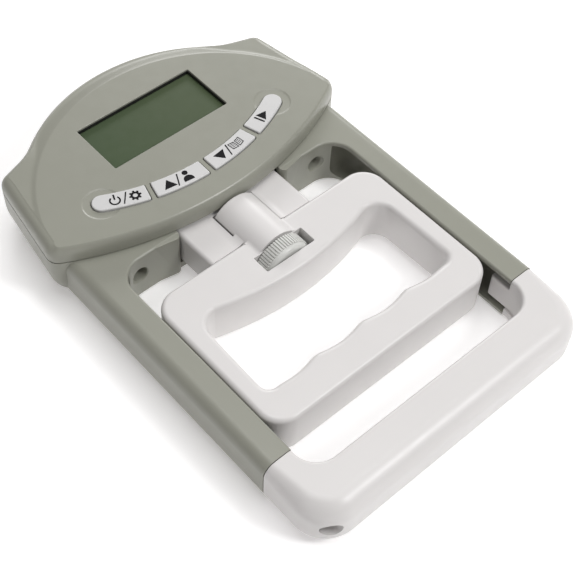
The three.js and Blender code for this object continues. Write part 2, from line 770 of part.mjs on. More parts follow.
batteryRows.forEach((y, i) => {
  const profile = [
    [-22, 0], [-22, 4.4], [-21.6, batteryRadius], [21, batteryRadius],
    [21.4, 4.6], [21.4, 1.9], [22.2, 1.9], [22.2, 0],
  ];
  const battery = turned(profile, 'x', [0, 0, 0], 24);
  if (i === 1) battery.rotateZ(Math.PI);
  add(`battery_${i + 1}`, battery.translate(0, y, batteryZ), cellSleeve);
});

class Helix extends THREE.Curve {
  constructor(turns, radius0, radius1, length) {
    super();
    Object.assign(this, { turns, radius0, radius1, length });
  }

  getPoint(t, target = new THREE.Vector3()) {
    const angle = 2 * Math.PI * this.turns * t;
    const radius = THREE.MathUtils.lerp(this.radius0, this.radius1, t);
    return target.set(this.length * t, radius * Math.cos(angle), radius * Math.sin(angle));
  }
}

function wireSection(radius, sides) {
  const shape = new THREE.Shape();
  for (let k = 0; k < sides; k += 1) {
    const angle = (2 * Math.PI * k) / sides;
    if (k === 0) shape.moveTo(radius, 0);
    else shape.lineTo(radius * Math.cos(angle), radius * Math.sin(angle));
  }
  return shape;
}

batteryRows.forEach((y, i) => {
  const side = i === 0 ? -1 : 1;
  const extrudePath = new Helix(3, 3.8, 2.2, 5.0);
  const along = { steps: 27, bevelEnabled: false, extrudePath };
  const spring = new THREE.ExtrudeGeometry(wireSection(0.35, 5), along);
  if (side > 0) spring.rotateZ(Math.PI);
  add(`battery_spring_${i + 1}`, spring.translate(side * 28.1, y, batteryZ), steel);
  const contact = box(-0.2, 0.2, -4, 4, -4, 4).translate(-side * 23.4, y, batteryZ);
  add(`battery_contact_${i + 1}`, contact, steel);
});

const doorThickness = 1.6;
const fingerGrooves = { count: 5, x: 7, y: 143.2, width: 0.5, pitch: 1.1, depth: 0.5 };

function batteryDoor() {
  const contour = outline([
    [-doorX + gap, doorY[0] + gap, 1.5],
    [doorX - gap, doorY[0] + gap, 1.5],
    [doorX - gap, doorY[1] - gap, 1.5],
    [-doorX + gap, doorY[1] - gap, 1.5],
  ]);
  const panel = plate(contour, 0, doorThickness, { bottom: 0.3, steps: 1 });
  const ribs = [-15, 15].map((x) => box(x - 0.8, x + 0.8, doorY[0] + 3, doorY[1] - 3, 1, 2.6));
  const grooves = [];
  for (let k = 0; k < fingerGrooves.count; k += 1) {
    const y = fingerGrooves.y + k * fingerGrooves.pitch;
    const end = y + fingerGrooves.width;
    grooves.push(box(-fingerGrooves.x, fingerGrooves.x, y, end, below, fingerGrooves.depth));
  }
  return combine(panel, ribs, grooves);
}
add('battery_door', batteryDoor(), greyPlastic);

// ---------------------------------------------------------------- screws of the housing

caseScrews.forEach(([x, y], i) => {
  const profile = [
    [1.0, 0], [1.0, 2.7], [2.6, 2.7], [3.0, 1.6],
    [frameTop, 1.6], [coverBase, 1.0], [23.4, 1.0], [23.4, 0],
  ];
  add(`case_screw_${i + 1}`, turned(profile, 'z', [x, y, 0], 12), steel);
});

[-1, 1].forEach((side) => {
  const name = side < 0 ? 'left' : 'right';
  const wallScrew = [
    [91.0, 0], [91.0, 2.2], [92.6, 2.2], [92.9, 1.4],
    [wallBossEndY - 0.6, 1.4], [wallBossEndY - 0.6, 0],
  ];
  add(`wall_screw_${name}`, turned(wallScrew, 'y', [side * wallScrewX, 0, wallScrewZ], 16), steel);
  const handleScrew = [
    [handleHeadY, 0], [handleHeadY, 2.7], [handleHeadY + 1.9, 2.7], [handleHeadY + 2.2, 1.5],
    [tongueEnd - 0.9, 1.5], [tongueEnd - 0.9, 0],
  ];
  add(`handle_screw_${name}`, turned(handleScrew, 'y', [side * handleScrewX, 0, frameTop / 2], 16), steel);
});

// ---------------------------------------------------------------- wires inside the head

function wire(points, radius) {
  const extrudePath = new THREE.CatmullRomCurve3(points.map((point) => new THREE.Vector3(...point)));
  return new THREE.ExtrudeGeometry(wireSection(radius, 6), { steps: 10, bevelEnabled: false, extrudePath });
}
const redRoute = [[28.9, 133, 13.2], [28.9, 131, 16.6], [27, 127, 17.9], [23, 121, 18]];
const blackRoute = [[-28.9, 145, 13.2], [-28.9, 141, 16.6], [-27, 135, 17.9], [-23, 128, 18]];
const gaugeRoute = [[-18, 108.8, 11], [-19, 105, 14], [-22, 102.5, 16.5], [-26, 104, 18.2]];
add('battery_wire_red', wire(redRoute, 0.5), redWire);
add('battery_wire_black', wire(blackRoute, 0.5), blackWire);
add('gauge_wire', wire(gaugeRoute, 0.6), blackWire);

export default object;
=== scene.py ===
"""Electronic hand dynamometer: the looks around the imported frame.

Shapes are drawn in millimetres: X across, Z up from the back plane, and Y from the seam between
the legs and the outer handle. solid() turns them into metres in the frame's own place.
"""

import math

import bmesh
import bpy
import numpy as np
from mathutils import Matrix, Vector
from mathutils.geometry import tessellate_polygon


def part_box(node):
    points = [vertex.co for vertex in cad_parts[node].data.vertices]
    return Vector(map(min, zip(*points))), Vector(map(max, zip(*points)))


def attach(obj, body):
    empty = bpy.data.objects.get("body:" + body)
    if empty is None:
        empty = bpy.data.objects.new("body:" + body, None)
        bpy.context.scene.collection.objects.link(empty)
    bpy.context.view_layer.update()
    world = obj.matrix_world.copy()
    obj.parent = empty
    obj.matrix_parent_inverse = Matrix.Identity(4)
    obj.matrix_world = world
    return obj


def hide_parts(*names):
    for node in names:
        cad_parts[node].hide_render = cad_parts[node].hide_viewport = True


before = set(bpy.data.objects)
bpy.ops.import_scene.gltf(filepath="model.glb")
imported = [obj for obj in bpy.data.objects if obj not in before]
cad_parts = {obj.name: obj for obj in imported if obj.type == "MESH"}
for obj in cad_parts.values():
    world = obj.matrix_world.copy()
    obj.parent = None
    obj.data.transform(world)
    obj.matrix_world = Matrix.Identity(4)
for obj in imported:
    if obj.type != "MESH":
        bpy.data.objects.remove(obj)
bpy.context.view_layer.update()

MM = 0.001
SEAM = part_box("rear_casing")[0].y  # where the drawings' Y starts, in metres


def span(node):
    """A CAD node's box as three (low, high) pairs in millimetres, in the drawings' place."""
    low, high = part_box(node)
    return [((low[i] - shift) / MM, (high[i] - shift) / MM) for i, shift in enumerate((0, SEAM, 0))]


# ----- driving dimensions, in mm

GAP = 0.3
WALL = 2.2

FRAME_TOP = span("outer_handle")[2][1]
LEG_OUTER = span("outer_handle")[0][1]
LEG_INNER = 49.0
LEG_ROUND = 4.4
LEG_UNDER = 6.4
HULL_RISE = 14
HULL_SIDE = 8
HULL_TOP = 4.4
HULL_FRONT = (57, 99.5)  # the hull's front corner, hidden in the legs' web
WALL_Y = 86.9  # front wall of the casing
WEB_END = 112
NOTCH_ROUND = 9
CHANNEL_X = (43.2, 57.8)
CHANNEL_END = 85.4
FLANGE = 1.8
NECK_OPENING = 23.0
FLOOR_TOP = 2.0

DOME_Y = 98.0
DOME_RADIUS = 65.7
DOME_HALF_ANGLE = 37
SHOULDER = (45.1, 146.0)
SHOULDER_ROUND = 20
EAR = (58.3, 141.7)
EAR_ROUND = 4.5
JAW = (63.93, 103.2)
JAW_ROUND = 5
BROW_RADIUS = 128.4
BROW_Y = 86.2

COVER_BASE = FRAME_TOP + GAP
FACE_TOP = span("front_cover")[2][1]
FACE_REACH = (60.8, 57.6)
RIM_DROP = 1.25  # how far the rim lies below the raised face
BEVEL_WIDTH = 4.6
STEP_DROP = 0.45  # the same at the head's sides, where only a fine step is left
STEP_WIDTH = 1.6

BAR_INNER_Y = -10.0
BAR_OUTER_Y = span("outer_handle")[1][0]
BAR_CORNER = 13
BAR_INNER_CORNER = 8.8
BAR_ROUND = 7.4
TONGUE_X = (49.8, 56.8)
TONGUE_Z = (4.0, 13.6)
TONGUE_END = span("outer_handle")[1][1]

GRIP_X = span("inner_handle")[0][1]
GRIP_Y = (span("inner_handle")[1][0], 69.9)
GRIP_Z = (span("inner_handle")[2][0], FRAME_TOP)
GRIP_CORNER = 8.8
HOLE_X = 41.0
HOLE_TOP_Y = 49.5
HOLE_SIDE_Y = 54.6
GROOVE_Y = 19.8
GROOVE_DEPTH = 1.8
GROOVE_PITCH = 20.2

AXIS_Z = 12.2  # adjusting screw
BARREL_RADIUS = 10.7
BARREL_END = span("inner_handle")[1][1]
SLOT_X = 10.5
SLOT_Y = (55.2, 62.4)
SCREW_RADIUS = 2.9
SLEEVE_RADIUS = 4.0
FLANK_X = -8.6  # flat on the barrel's left, beside an open slit in the neck block
FLANK_DEEP_X = -6.5
FLANK_Z = (9.0, 17.9)
SLIT_START = 74.8
SLIT_WIDTH = 0.75

BLOCK_X = span("neck_block")[0][1]
BLOCK_Y = span("neck_block")[1]
BLOCK_Z = span("neck_block")[2]

SCREEN_X = 25.0
SCREEN_Y = (119.1, 142.1)
KEY_ARC_Y = 182.8
KEY_INNER = 79.4
KEY_OUTER = 86.4
KEY_MIDDLE = (KEY_INNER + KEY_OUTER) / 2
KEY_CORNER = 0.6
KEY_ANGLES = [(-27.4, -16.2), (-14.7, -0.8), (0.8, 14.7), (16.2, 27.4)]
KEY_TOP = span("up_key")[2][1]
KEY_BASE = span("up_key")[2][0]
INK_HEIGHT = 0.04
SYMBOL_SCALE = 1.7

DOOR_X = 26.0
DOOR_Y = (128.6, 149.4)
BAY_X = 29.5
BAY_Y = (127.7, 150.3)
BAY_TOP = 14.6
BAY_WALL = 1.4
CASE_SCREWS = [(53, 112), (-53, 112), (37, 143), (-37, 143)]
WALL_SCREW_X = 40
WALL_SCREW_Z = 10.6
WALL_BOSS_END = 99
WALL_HEAD_HOLE = 2.6
WALL_SHANK_HOLE = 1.7
CASE_HEAD_HOLE = 3.2
SHANK_HOLE = 1.9
BOSS_RADIUS = 4
CELL_BOSS_RADIUS = 3.6
CELL_BOSSES = [(-38.5, 117.1), (-31.5, 117.1)]
CAVITY_ROUND = LEG_UNDER - WALL
LEG_START = -6  # the legs are drawn past the seam and then cut off at it
HANDLE_SCREW_X = 54.0
HANDLE_HEAD_Y = span("handle_screw_left")[1][0]

BELOW = -2.0  # heights well clear of the material, for cutting
ABOVE = 34.0


# ----- materials


def shader(name):
    """A new material with its nodes, its links and its Principled shader."""
    material = bpy.data.materials.new(name)
    material.use_nodes = True
    tree = material.node_tree
    return material, tree, tree.nodes["Principled BSDF"]


def object_space(tree):
    return tree.nodes.new("ShaderNodeTexCoord").outputs["Object"]


def noise(tree, scale, detail=2.0, roughness=0.5, stretch=(1, 1, 1)):
    """A noise texture in object space; stretch below 1 draws it out along an axis."""
    mapping = tree.nodes.new("ShaderNodeMapping")
    mapping.inputs["Scale"].default_value = stretch
    texture = tree.nodes.new("ShaderNodeTexNoise")
    texture.inputs["Scale"].default_value = scale
    texture.inputs["Detail"].default_value = detail
    texture.inputs["Roughness"].default_value = roughness
    tree.links.new(object_space(tree), mapping.inputs["Vector"])
    tree.links.new(mapping.outputs["Vector"], texture.inputs["Vector"])
    return texture.outputs["Fac"]


def ramp(tree, value, low, high, start=0.3, end=0.7):
    """Colours between low and high as value goes from start to end."""
    node = tree.nodes.new("ShaderNodeValToRGB")
    node.color_ramp.elements[0].position = start
    node.color_ramp.elements[1].position = end
    node.color_ramp.elements[0].color = (*low, 1)
    node.color_ramp.elements[1].color = (*high, 1)
    tree.links.new(value, node.inputs["Fac"])
    return node.outputs["Color"]


def between(tree, value, low, high):
    """A number between low and high as value goes from 0.25 to 0.75."""
    node = tree.nodes.new("ShaderNodeMapRange")
    node.inputs["From Min"].default_value = 0.25
    node.inputs["From Max"].default_value = 0.75
    node.inputs["To Min"].default_value = low
    node.inputs["To Max"].default_value = high
    tree.links.new(value, node.inputs["Value"])
    return node.outputs["Result"]


def bump(tree, bsdf, height, distance, strength=1.0):
    """Adds height to the shader's bump, on top of what is there."""
    node = tree.nodes.new("ShaderNodeBump")
    node.inputs["Distance"].default_value = distance
    node.inputs["Strength"].default_value = strength
    tree.links.new(height, node.inputs["Height"])
    if bsdf.inputs["Normal"].is_linked:
        tree.links.new(bsdf.inputs["Normal"].links[0].from_socket, node.inputs["Normal"])
    tree.links.new(node.outputs["Normal"], bsdf.inputs["Normal"])


def shaded(colour, factor):
    return tuple(min(1.0, channel * factor) for channel in colour)


def moulded(name, colour, roughness, grain=0.00001, spread=0.03, specular=0.5):
    """Injection-moulded plastic: faint flow marks in the colour, a spark-eroded grain, soft sink."""
    material, tree, bsdf = shader(name)
    flow = noise(tree, 38, 3, stretch=(1, 0.45, 1))
    tint = ramp(tree, flow, shaded(colour, 1 - spread), shaded(colour, 1 + spread))
    tree.links.new(tint, bsdf.inputs["Base Color"])
    gloss = between(tree, noise(tree, 240, 3), roughness - 0.03, roughness + 0.04)
    tree.links.new(gloss, bsdf.inputs["Roughness"])
    bsdf.inputs["Specular IOR Level"].default_value = specular
    bump(tree, bsdf, noise(tree, 5200, 2), grain, 0.5)
    bump(tree, bsdf, noise(tree, 55, 1), 0.00003, 0.25)
    return material


def metal(name, colour, roughness, stretch=(1, 1, 1)):
    """Machined or drawn metal with marks along the way it was cut."""
    material, tree, bsdf = shader(name)
    bsdf.inputs["Metallic"].default_value = 1.0
    marks = noise(tree, 1500, 4, 0.6, stretch)
    tint = ramp(tree, noise(tree, 120, 3), shaded(colour, 0.9), shaded(colour, 1.05))
    tree.links.new(tint, bsdf.inputs["Base Color"])
    tree.links.new(between(tree, marks, roughness - 0.08, roughness + 0.12), bsdf.inputs["Roughness"])
    bump(tree, bsdf, marks, 0.00001, 0.6)
    return material


GREY = moulded("grey_moulding", (0.288, 0.291, 0.246), 0.32, grain=0.000002, spread=0.02)
WHITE = moulded("white_moulding", (0.68, 0.665, 0.655), 0.36, spread=0.012)
KEY_WHITE = moulded("key_moulding", (0.60, 0.60, 0.595), 0.36, grain=0.000006, spread=0.01)
WHEEL_GREY = moulded("wheel_moulding", (0.63, 0.635, 0.61), 0.33, grain=0.000006, spread=0.03)
BLACK = moulded("black_moulding", (0.006, 0.006, 0.006), 0.45, spread=0.1)
INK = moulded("black_ink", (0.004, 0.004, 0.005), 0.6, grain=0.000004, spread=0.1, specular=0.15)
SILICONE = moulded("silicone", (0.28, 0.28, 0.26), 0.7, grain=0.00002, spread=0.06)
RED_WIRE = moulded("red_wire", (0.42, 0.02, 0.015), 0.45)
BLACK_WIRE = moulded("black_wire", (0.01, 0.01, 0.01), 0.45)
STEEL = metal("zinc_plated_steel", (0.55, 0.56, 0.58), 0.30)
BRASS = metal("turned_brass", (0.70, 0.50, 0.20), 0.28, (1, 8, 1))
ALUMINIUM = metal("milled_aluminium", (0.66, 0.67, 0.69), 0.36, (0.15, 1, 1))
FOIL = metal("gauge_foil", (0.62, 0.45, 0.22), 0.30, (1, 1, 9))


def along_x(tree, reach):
    """A value that goes from 0 to 1 along X, reach metres either side of the origin."""
    parts = tree.nodes.new("ShaderNodeSeparateXYZ")
    tree.links.new(object_space(tree), parts.inputs["Vector"])
    node = tree.nodes.new("ShaderNodeMapRange")
    node.inputs["From Min"].default_value = -reach
    node.inputs["From Max"].default_value = reach
    tree.links.new(parts.outputs["X"], node.inputs["Value"])
    return node.outputs["Result"]


def display_material():
    """Blank reflective liquid crystal under a clear sheet: green-grey, a little lighter to one end."""
    material, tree, bsdf = shader("blank_display")
    clouds = tree.nodes.new("ShaderNodeMath")
    clouds.operation = "MULTIPLY_ADD"
    clouds.inputs[1].default_value = 0.5
    tree.links.new(noise(tree, 45, 2), clouds.inputs[0])
    tree.links.new(along_x(tree, SCREEN_X * MM), clouds.inputs[2])
    tint = ramp(tree, clouds.outputs["Value"], (0.058, 0.086, 0.043), (0.068, 0.093, 0.048), 0.2, 1.2)
    tree.links.new(tint, bsdf.inputs["Base Color"])
    tree.links.new(between(tree, noise(tree, 300, 2), 0.30, 0.36), bsdf.inputs["Roughness"])
    bsdf.inputs["Specular IOR Level"].default_value = 0.25
    bump(tree, bsdf, noise(tree, 2400, 1), 0.000004, 0.3)
    return material


def board_material():
    """Green solder mask with traces and pads of bare metal showing through as paler cells."""
    material, tree, bsdf = shader("solder_mask")
    cells = tree.nodes.new("ShaderNodeTexBrick")
    cells.inputs["Scale"].default_value = 190
    cells.inputs["Mortar Size"].default_value = 0.012
    cells.inputs["Color1"].default_value = (0.010, 0.085, 0.028, 1)
    cells.inputs["Color2"].default_value = (0.014, 0.110, 0.036, 1)
    cells.inputs["Mortar"].default_value = (0.060, 0.200, 0.070, 1)
    tree.links.new(object_space(tree), cells.inputs["Vector"])
    tree.links.new(cells.outputs["Color"], bsdf.inputs["Base Color"])
    tree.links.new(between(tree, noise(tree, 400, 2), 0.28, 0.42), bsdf.inputs["Roughness"])
    bump(tree, bsdf, cells.outputs["Fac"], 0.00003, 0.5)
    return material


def sleeve_material():
    """A battery's printed sleeve: blue with a pale band at its positive end, and no lettering."""
    material, tree, bsdf = shader("battery_sleeve")
    blue, silver = (0.03, 0.09, 0.22), (0.55, 0.56, 0.58)
    tint = ramp(tree, along_x(tree, 0.03), blue, silver, 0.74, 0.76)
    tree.links.new(tint, bsdf.inputs["Base Color"])
    tree.links.new(between(tree, noise(tree, 200, 3), 0.25, 0.4), bsdf.inputs["Roughness"])
    bump(tree, bsdf, noise(tree, 700, 2), 0.00001, 0.3)
    return material


DISPLAY = display_material()
BOARD = board_material()
SLEEVE = sleeve_material()


# ----- outlines, as arrays of points


def arc(centre, radius, start, end, steps):
    """Points on an arc, with angles in degrees from +X."""
    angles = np.radians(np.linspace(start, end, steps + 1))
    return [(centre[0] + radius * math.cos(a), centre[1] + radius * math.sin(a)) for a in angles]


def outline(corners, step=4.0):
    """A closed outline of corners (x, y, radius), with each corner replaced by an arc."""
    points = []
    for i, corner in enumerate(corners):
        here = np.array(corner[:2], float)
        radius = corner[2] if len(corner) > 2 else 0
        if radius == 0:
            points.append(here)
            continue
        back = np.array(corners[i - 1][:2], float) - here
        ahead = np.array(corners[(i + 1) % len(corners)][:2], float) - here
        back /= np.linalg.norm(back)
        ahead /= np.linalg.norm(ahead)
        half = math.acos(max(-1.0, min(1.0, float(back @ ahead)))) / 2
        start = here + back * radius / math.tan(half)
        both = back + ahead
        middle = here + both / np.linalg.norm(both) * radius / math.sin(half)
        turn = math.pi - 2 * half
        sense = np.sign(ahead[0] * back[1] - ahead[1] * back[0])
        steps = max(2, math.ceil(turn / math.radians(step)))
        for k in range(steps + 1):
            angle = sense * turn * k / steps
            spin = np.array([[math.cos(angle), -math.sin(angle)], [math.sin(angle), math.cos(angle)]])
            points.append(middle + spin @ (start - middle))
    return np.array(points)


def rectangle(x0, x1, y0, y1, radius=0, step=4.0):
    return outline([(x0, y0, radius), (x1, y0, radius), (x1, y1, radius), (x0, y1, radius)], step)


def area(points):
    x, y = np.array(points).T[:2]
    return float(np.sum(x * np.roll(y, -1) - np.roll(x, -1) * y)) / 2


def inset(points, distance):
    """The outline moved to its left by a distance, one number or one for each point."""
    points = np.array(points, float)
    a = points - np.roll(points, 1, axis=0)
    b = np.roll(points, -1, axis=0) - points
    a /= np.linalg.norm(a, axis=1)[:, None]
    b /= np.linalg.norm(b, axis=1)[:, None]
    normal = np.stack([-a[:, 1] - b[:, 1], a[:, 0] + b[:, 0]], 1)
    normal /= (1 + np.sum(a * b, axis=1))[:, None]
    return points + normal * np.reshape(distance, (-1, 1))


def mirrored(corners):
    return [(-corner[0], *corner[1:]) for corner in reversed(corners)]


def resampled(points, count):
    """The closed outline with count points at even spacing."""
    closed = np.vstack([points, points[:1]])
    lengths = np.linalg.norm(np.diff(closed, axis=0), axis=1)
    along = np.concatenate([[0], np.cumsum(lengths)])
    wanted = np.linspace(0, along[-1], count, endpoint=False)
    return np.stack([np.interp(wanted, along, closed[:, i]) for i in range(2)], 1)


def smoothstep(value, low, high):
    t = np.clip((np.asarray(value, float) - low) / (high - low), 0, 1)
    return t * t * (3 - 2 * t)


def head_side(by, side_by):
    """Right-hand corners of the head from the jaw up to the dome, moved in by two distances."""
    return [
        (JAW[0] - side_by, JAW[1] + by * 0.3, JAW_ROUND - by / 2),
        (EAR[0] - side_by, EAR[1] - by, EAR_ROUND - by / 2),
        (SHOULDER[0] - by * 0.4, SHOULDER[1] - by, SHOULDER_ROUND),
    ]


def head_top(by, side_by=None):
    side = head_side(by, by if side_by is None else side_by)
    dome = arc((0, DOME_Y), DOME_RADIUS - by, 90 - DOME_HALF_ANGLE, 90 + DOME_HALF_ANGLE, 40)
    return [*side, *dome, *mirrored(side)]


def brow(by):
    """Front edge of the cover, a flat arc between the jaws."""
    reach = math.degrees(math.asin((JAW[0] - 6) / BROW_RADIUS))
    return arc((0, BROW_Y + BROW_RADIUS), BROW_RADIUS - by, -90 - reach, -90 + reach, 40)


# ----- solids, as (points, faces)


def skinned(rings):
    """Side faces between rings of equally many points."""
    count = len(rings[0])
    faces = []
    for r in range(len(rings) - 1):
        for i in range(count):
            j = (i + 1) % count
            faces.append((r * count + i, r * count + j, (r + 1) * count + j, (r + 1) * count + i))
    return np.vstack(rings), faces


def capped(rings):
    """A solid between rings of equally many points, closed by a face at each end."""
    points, faces = skinned(rings)
    count = len(rings[0])
    faces.append(tuple(reversed(range(count))))
    faces.append(tuple(len(points) - count + i for i in range(count)))
    return points, faces


def plate(contour, low, high, top=0, bottom=0, holes=(), hole_top=0, hole_bottom=0, steps=6):
    """A plate between two heights with rounded edges. A radius is a number or a function of x, y."""
    points, faces, caps = [], [], []
    for number, loop in enumerate([contour, *holes]):
        loop = np.array(loop, float)
        if (area(loop) > 0) == (number > 0):
            loop = loop[::-1]
        radii = []
        for radius in (bottom, top) if number == 0 else (hole_bottom, hole_top):
            spread = radius(loop[:, 0], loop[:, 1]) if callable(radius) else radius
            radii.append(np.broadcast_to(np.asarray(spread, float), len(loop)))
        rings = []
        for radius, height, sense in ((radii[0], low, 1), (radii[1], high, -1)):
            for k in range(steps + 1):
                angle = math.pi / 2 * (1 - k / steps if sense > 0 else k / steps)
                flat = inset(loop, radius * (1 - math.cos(angle)))
                lift = height + sense * radius * (1 - math.sin(angle))
                rings.append(np.column_stack([flat, lift]))
        offset = sum(len(block) for block in points)
        block, sides = skinned(rings)
        faces += [tuple(offset + i for i in face) for face in sides]
        points.append(block)
        count = len(loop)
        caps.append((offset, offset + (len(rings) - 1) * count, count))
    everything = np.vstack(points)
    for upper in (0, 1):
        starts = [cap[upper] for cap in caps]
        loops = [[Vector(everything[s + i]) for i in range(cap[2])] for s, cap in zip(starts, caps)]
        index = [s + i for s, cap in zip(starts, caps) for i in range(cap[2])]
        if len(loops) == 1:
            faces.append(tuple(index if upper else reversed(index)))
        else:
            faces += [tuple(index[i] for i in triangle) for triangle in tessellate_polygon(loops)]
    return everything, faces


def flared(contour, low, surface, radius, steps=5):
    """A cutter for an opening whose lip at the surface is rounded off by a radius."""
    loop = np.array(contour, float)
    if area(loop) < 0:
        loop = loop[::-1]
    rings = [np.column_stack([loop, np.full(len(loop), low)])]
    for k in range(steps + 1):
        angle = math.pi / 2 * k / steps
        flat = inset(loop, -radius * (1 - math.cos(angle)))
        height = surface - radius + radius * math.sin(angle)
        rings.append(np.column_stack([flat, np.full(len(loop), height)]))
    rings.append(np.column_stack([rings[-1][:, :2], np.full(len(loop), surface + 6)]))
    return capped(rings)


def box(x0, x1, y0, y1, z0, z1):
    return plate(rectangle(x0, x1, y0, y1), z0, z1, steps=1)


def turned(profile, axis, centre, segments=48):
    """A round solid from pairs of distance along the axis and radius, closed on the axis."""
    rings = []
    for along, radius in profile:
        angles = 2 * math.pi * np.arange(segments) / segments
        ring = [radius * np.cos(angles), radius * np.sin(angles), np.full(segments, float(along))]
        rings.append(np.column_stack(ring))
    points, faces = skinned(rings)
    return placed(points, axis, centre), faces


def placed(points, axis, centre=(0, 0, 0)):
    """Points drawn about Z, turned to lie about another axis and moved to a centre."""
    x, y, z = np.array(points, float).T
    order = {"x": (z, x, y), "y": (x, z, -y), "z": (x, y, z)}[axis]
    return np.column_stack(order) + np.array(centre, float)


def bar_along_y(section, start, end, **rounding):
    """A plate of a section in (x, z), set along Y. Its top is at the start, its bottom at the end."""
    points, faces = plate(section, -end, -start, **rounding)
    x, z, back = points.T
    return np.column_stack([x, -back, z]), faces


def barrel_fillet(side, barrel, radius, level, start, end):
    """A concave fillet along Y between a level top and the barrel."""
    rise = level + radius - AXIS_Z
    across = math.sqrt((barrel + radius) ** 2 - rise**2)
    lean = math.degrees(math.atan2(-rise, -across))
    curve = arc((across, level + radius), radius, -90, lean, 8)
    foot = level - 1
    section = [(x * side, z) for x, z in [*curve, (curve[-1][0] - 1.2, foot), (across, foot)]]
    return bar_along_y(section, start, end, steps=1)


def rod(axis, radius, start, end, centre, segments=48):
    return turned([(start, 0), (start, radius), (end, radius), (end, 0)], axis, centre, segments)


def solid(name, shape):
    """A mesh object from points in millimetres: merged, without slivers, facing out."""
    points, faces = shape
    mesh = bpy.data.meshes.new(name)
    mesh.from_pydata([(x * MM, SEAM + y * MM, z * MM) for x, y, z in points], [], faces)
    obj = bpy.data.objects.new(name, mesh)
    bpy.context.scene.collection.objects.link(obj)
    cleaned(mesh, 1e-7)
    return obj


def cleaned(mesh, distance):
    work = bmesh.new()
    work.from_mesh(mesh)
    bmesh.ops.remove_doubles(work, verts=work.verts, dist=distance)
    bmesh.ops.dissolve_degenerate(work, edges=work.edges, dist=distance)
    bmesh.ops.recalc_face_normals(work, faces=work.faces)
    work.to_mesh(mesh)
    work.free()


def carved(name, base, stages):
    """The base after several stages of adding and cutting, in their order."""
    obj = solid(name, base)
    tools = []
    for operation, shapes in stages:
        for shape in shapes:
            tool = solid(name + "_tool", shape)
            modifier = obj.modifiers.new(operation, "BOOLEAN")
            modifier.operation = operation
            modifier.object = tool
            modifier.solver = "MANIFOLD"
            tools.append(tool)
    graph = bpy.context.evaluated_depsgraph_get()
    graph.update()
    mesh = bpy.data.meshes.new_from_object(obj.evaluated_get(graph))
    obj.modifiers.clear()
    obj.data = mesh
    for tool in tools:
        bpy.data.objects.remove(tool)
    cleaned(mesh, 2e-6)
    return obj


def show(obj, material, body, replaced=(), sharp=32):
    """Finishes a piece: material, smooth shading with crisp edges, body and what it replaces."""
    obj.data.materials.clear()
    obj.data.materials.append(material)
    for polygon in obj.data.polygons:
        polygon.use_smooth = True
    obj.data.set_sharp_from_angle(angle=math.radians(sharp))
    weighted = obj.modifiers.new("weighted", "WEIGHTED_NORMAL")
    weighted.keep_sharp = True
    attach(obj, body)
    if replaced:
        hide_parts(*replaced)
    return obj


# ----- rear casing with the legs


def pillar(side):
    """The wall thickening towards the neck opening and rounding into it."""
    radius, forward, reach = 2.1, 1.5, 8
    middle = (side * (NECK_OPENING + radius), WALL_Y - forward + radius)
    bend = arc(middle, radius, -90, -90 + side * -90, 10)
    outer_x = side * (NECK_OPENING + radius + reach)
    back_y = WALL_Y + WALL
    section = [(outer_x, WALL_Y), *bend, (side * NECK_OPENING, back_y), (outer_x, back_y)]
    return plate(section, 1.0, FRAME_TOP - 0.1, top=0.3, steps=2)


def head_hull(wall, heights):
    """The head of the casing, moved in by a wall: its sides curve in towards the back."""
    count = 480
    rings = []
    for z in heights:
        t = max(0.0, 1 - z / HULL_RISE)
        curve = 1 - math.sqrt(1 - t * t)
        by = wall + HULL_TOP * curve
        side_by = wall + HULL_SIDE * curve
        front = (HULL_FRONT[0] - side_by, HULL_FRONT[1] + by)
        contour = outline([front, *head_top(by, side_by), (-front[0], front[1])])
        rings.append(np.column_stack([resampled(contour, count), np.full(count, z)]))
    return capped(rings)


def legs_and_web():
    """The two legs and the web that joins them under the head, rounder outside than inside."""
    right = [
        (LEG_OUTER, WEB_END),
        (LEG_OUTER, LEG_START),
        (LEG_INNER, LEG_START),
        (LEG_INNER, WALL_Y, NOTCH_ROUND),
    ]
    contour = outline([*mirrored(right), *right])
    inside_round = 0.9

    def outside(x, y):
        return (y > WALL_Y + 1) | (np.abs(x) > LEG_INNER + 1)

    def top_round(x, y):
        return np.where(outside(x, y), LEG_ROUND, inside_round)

    def bottom_round(x, y):
        return np.where(outside(x, y), LEG_UNDER, inside_round)

    return plate(contour, 0, FRAME_TOP, top=top_round, bottom=bottom_round, steps=8)


def casing_hollows():
    """The space behind the front wall, the space in the head, and the mouth under the cover."""
    cavity_x = LEG_OUTER - WALL - 0.2
    corner = CAVITY_ROUND + 0.2
    web_cavity = plate(outline([
        (-cavity_x, WALL_Y + WALL, corner),
        (cavity_x, WALL_Y + WALL, corner),
        (cavity_x, WEB_END),
        (-cavity_x, WEB_END),
    ]), FLOOR_TOP, FRAME_TOP - WALL, bottom=CAVITY_ROUND, steps=4)
    head_cavity = head_hull(WALL, [FLOOR_TOP, 3.2, 4.6, 6.4, 8.8, 11.5, 14, ABOVE])
    mouth = plate(outline([*brow(WALL), *head_top(WALL + 0.5)]), FRAME_TOP - WALL - 1, ABOVE, steps=1)
    return [web_cavity, head_cavity, mouth]


def leg_channel(side):
    """The channel in a leg, open towards the gap between the legs and at the leg's end."""
    start = LEG_START - 2
    return plate(outline([
        (CHANNEL_X[0] * side, start),
        (CHANNEL_X[1] * side, start),
        (CHANNEL_X[1] * side, CHANNEL_END, 6),
        (CHANNEL_X[0] * side, CHANNEL_END, 5),
    ]), FLANGE, FRAME_TOP - FLANGE, top=0.6, bottom=CAVITY_ROUND, steps=4)


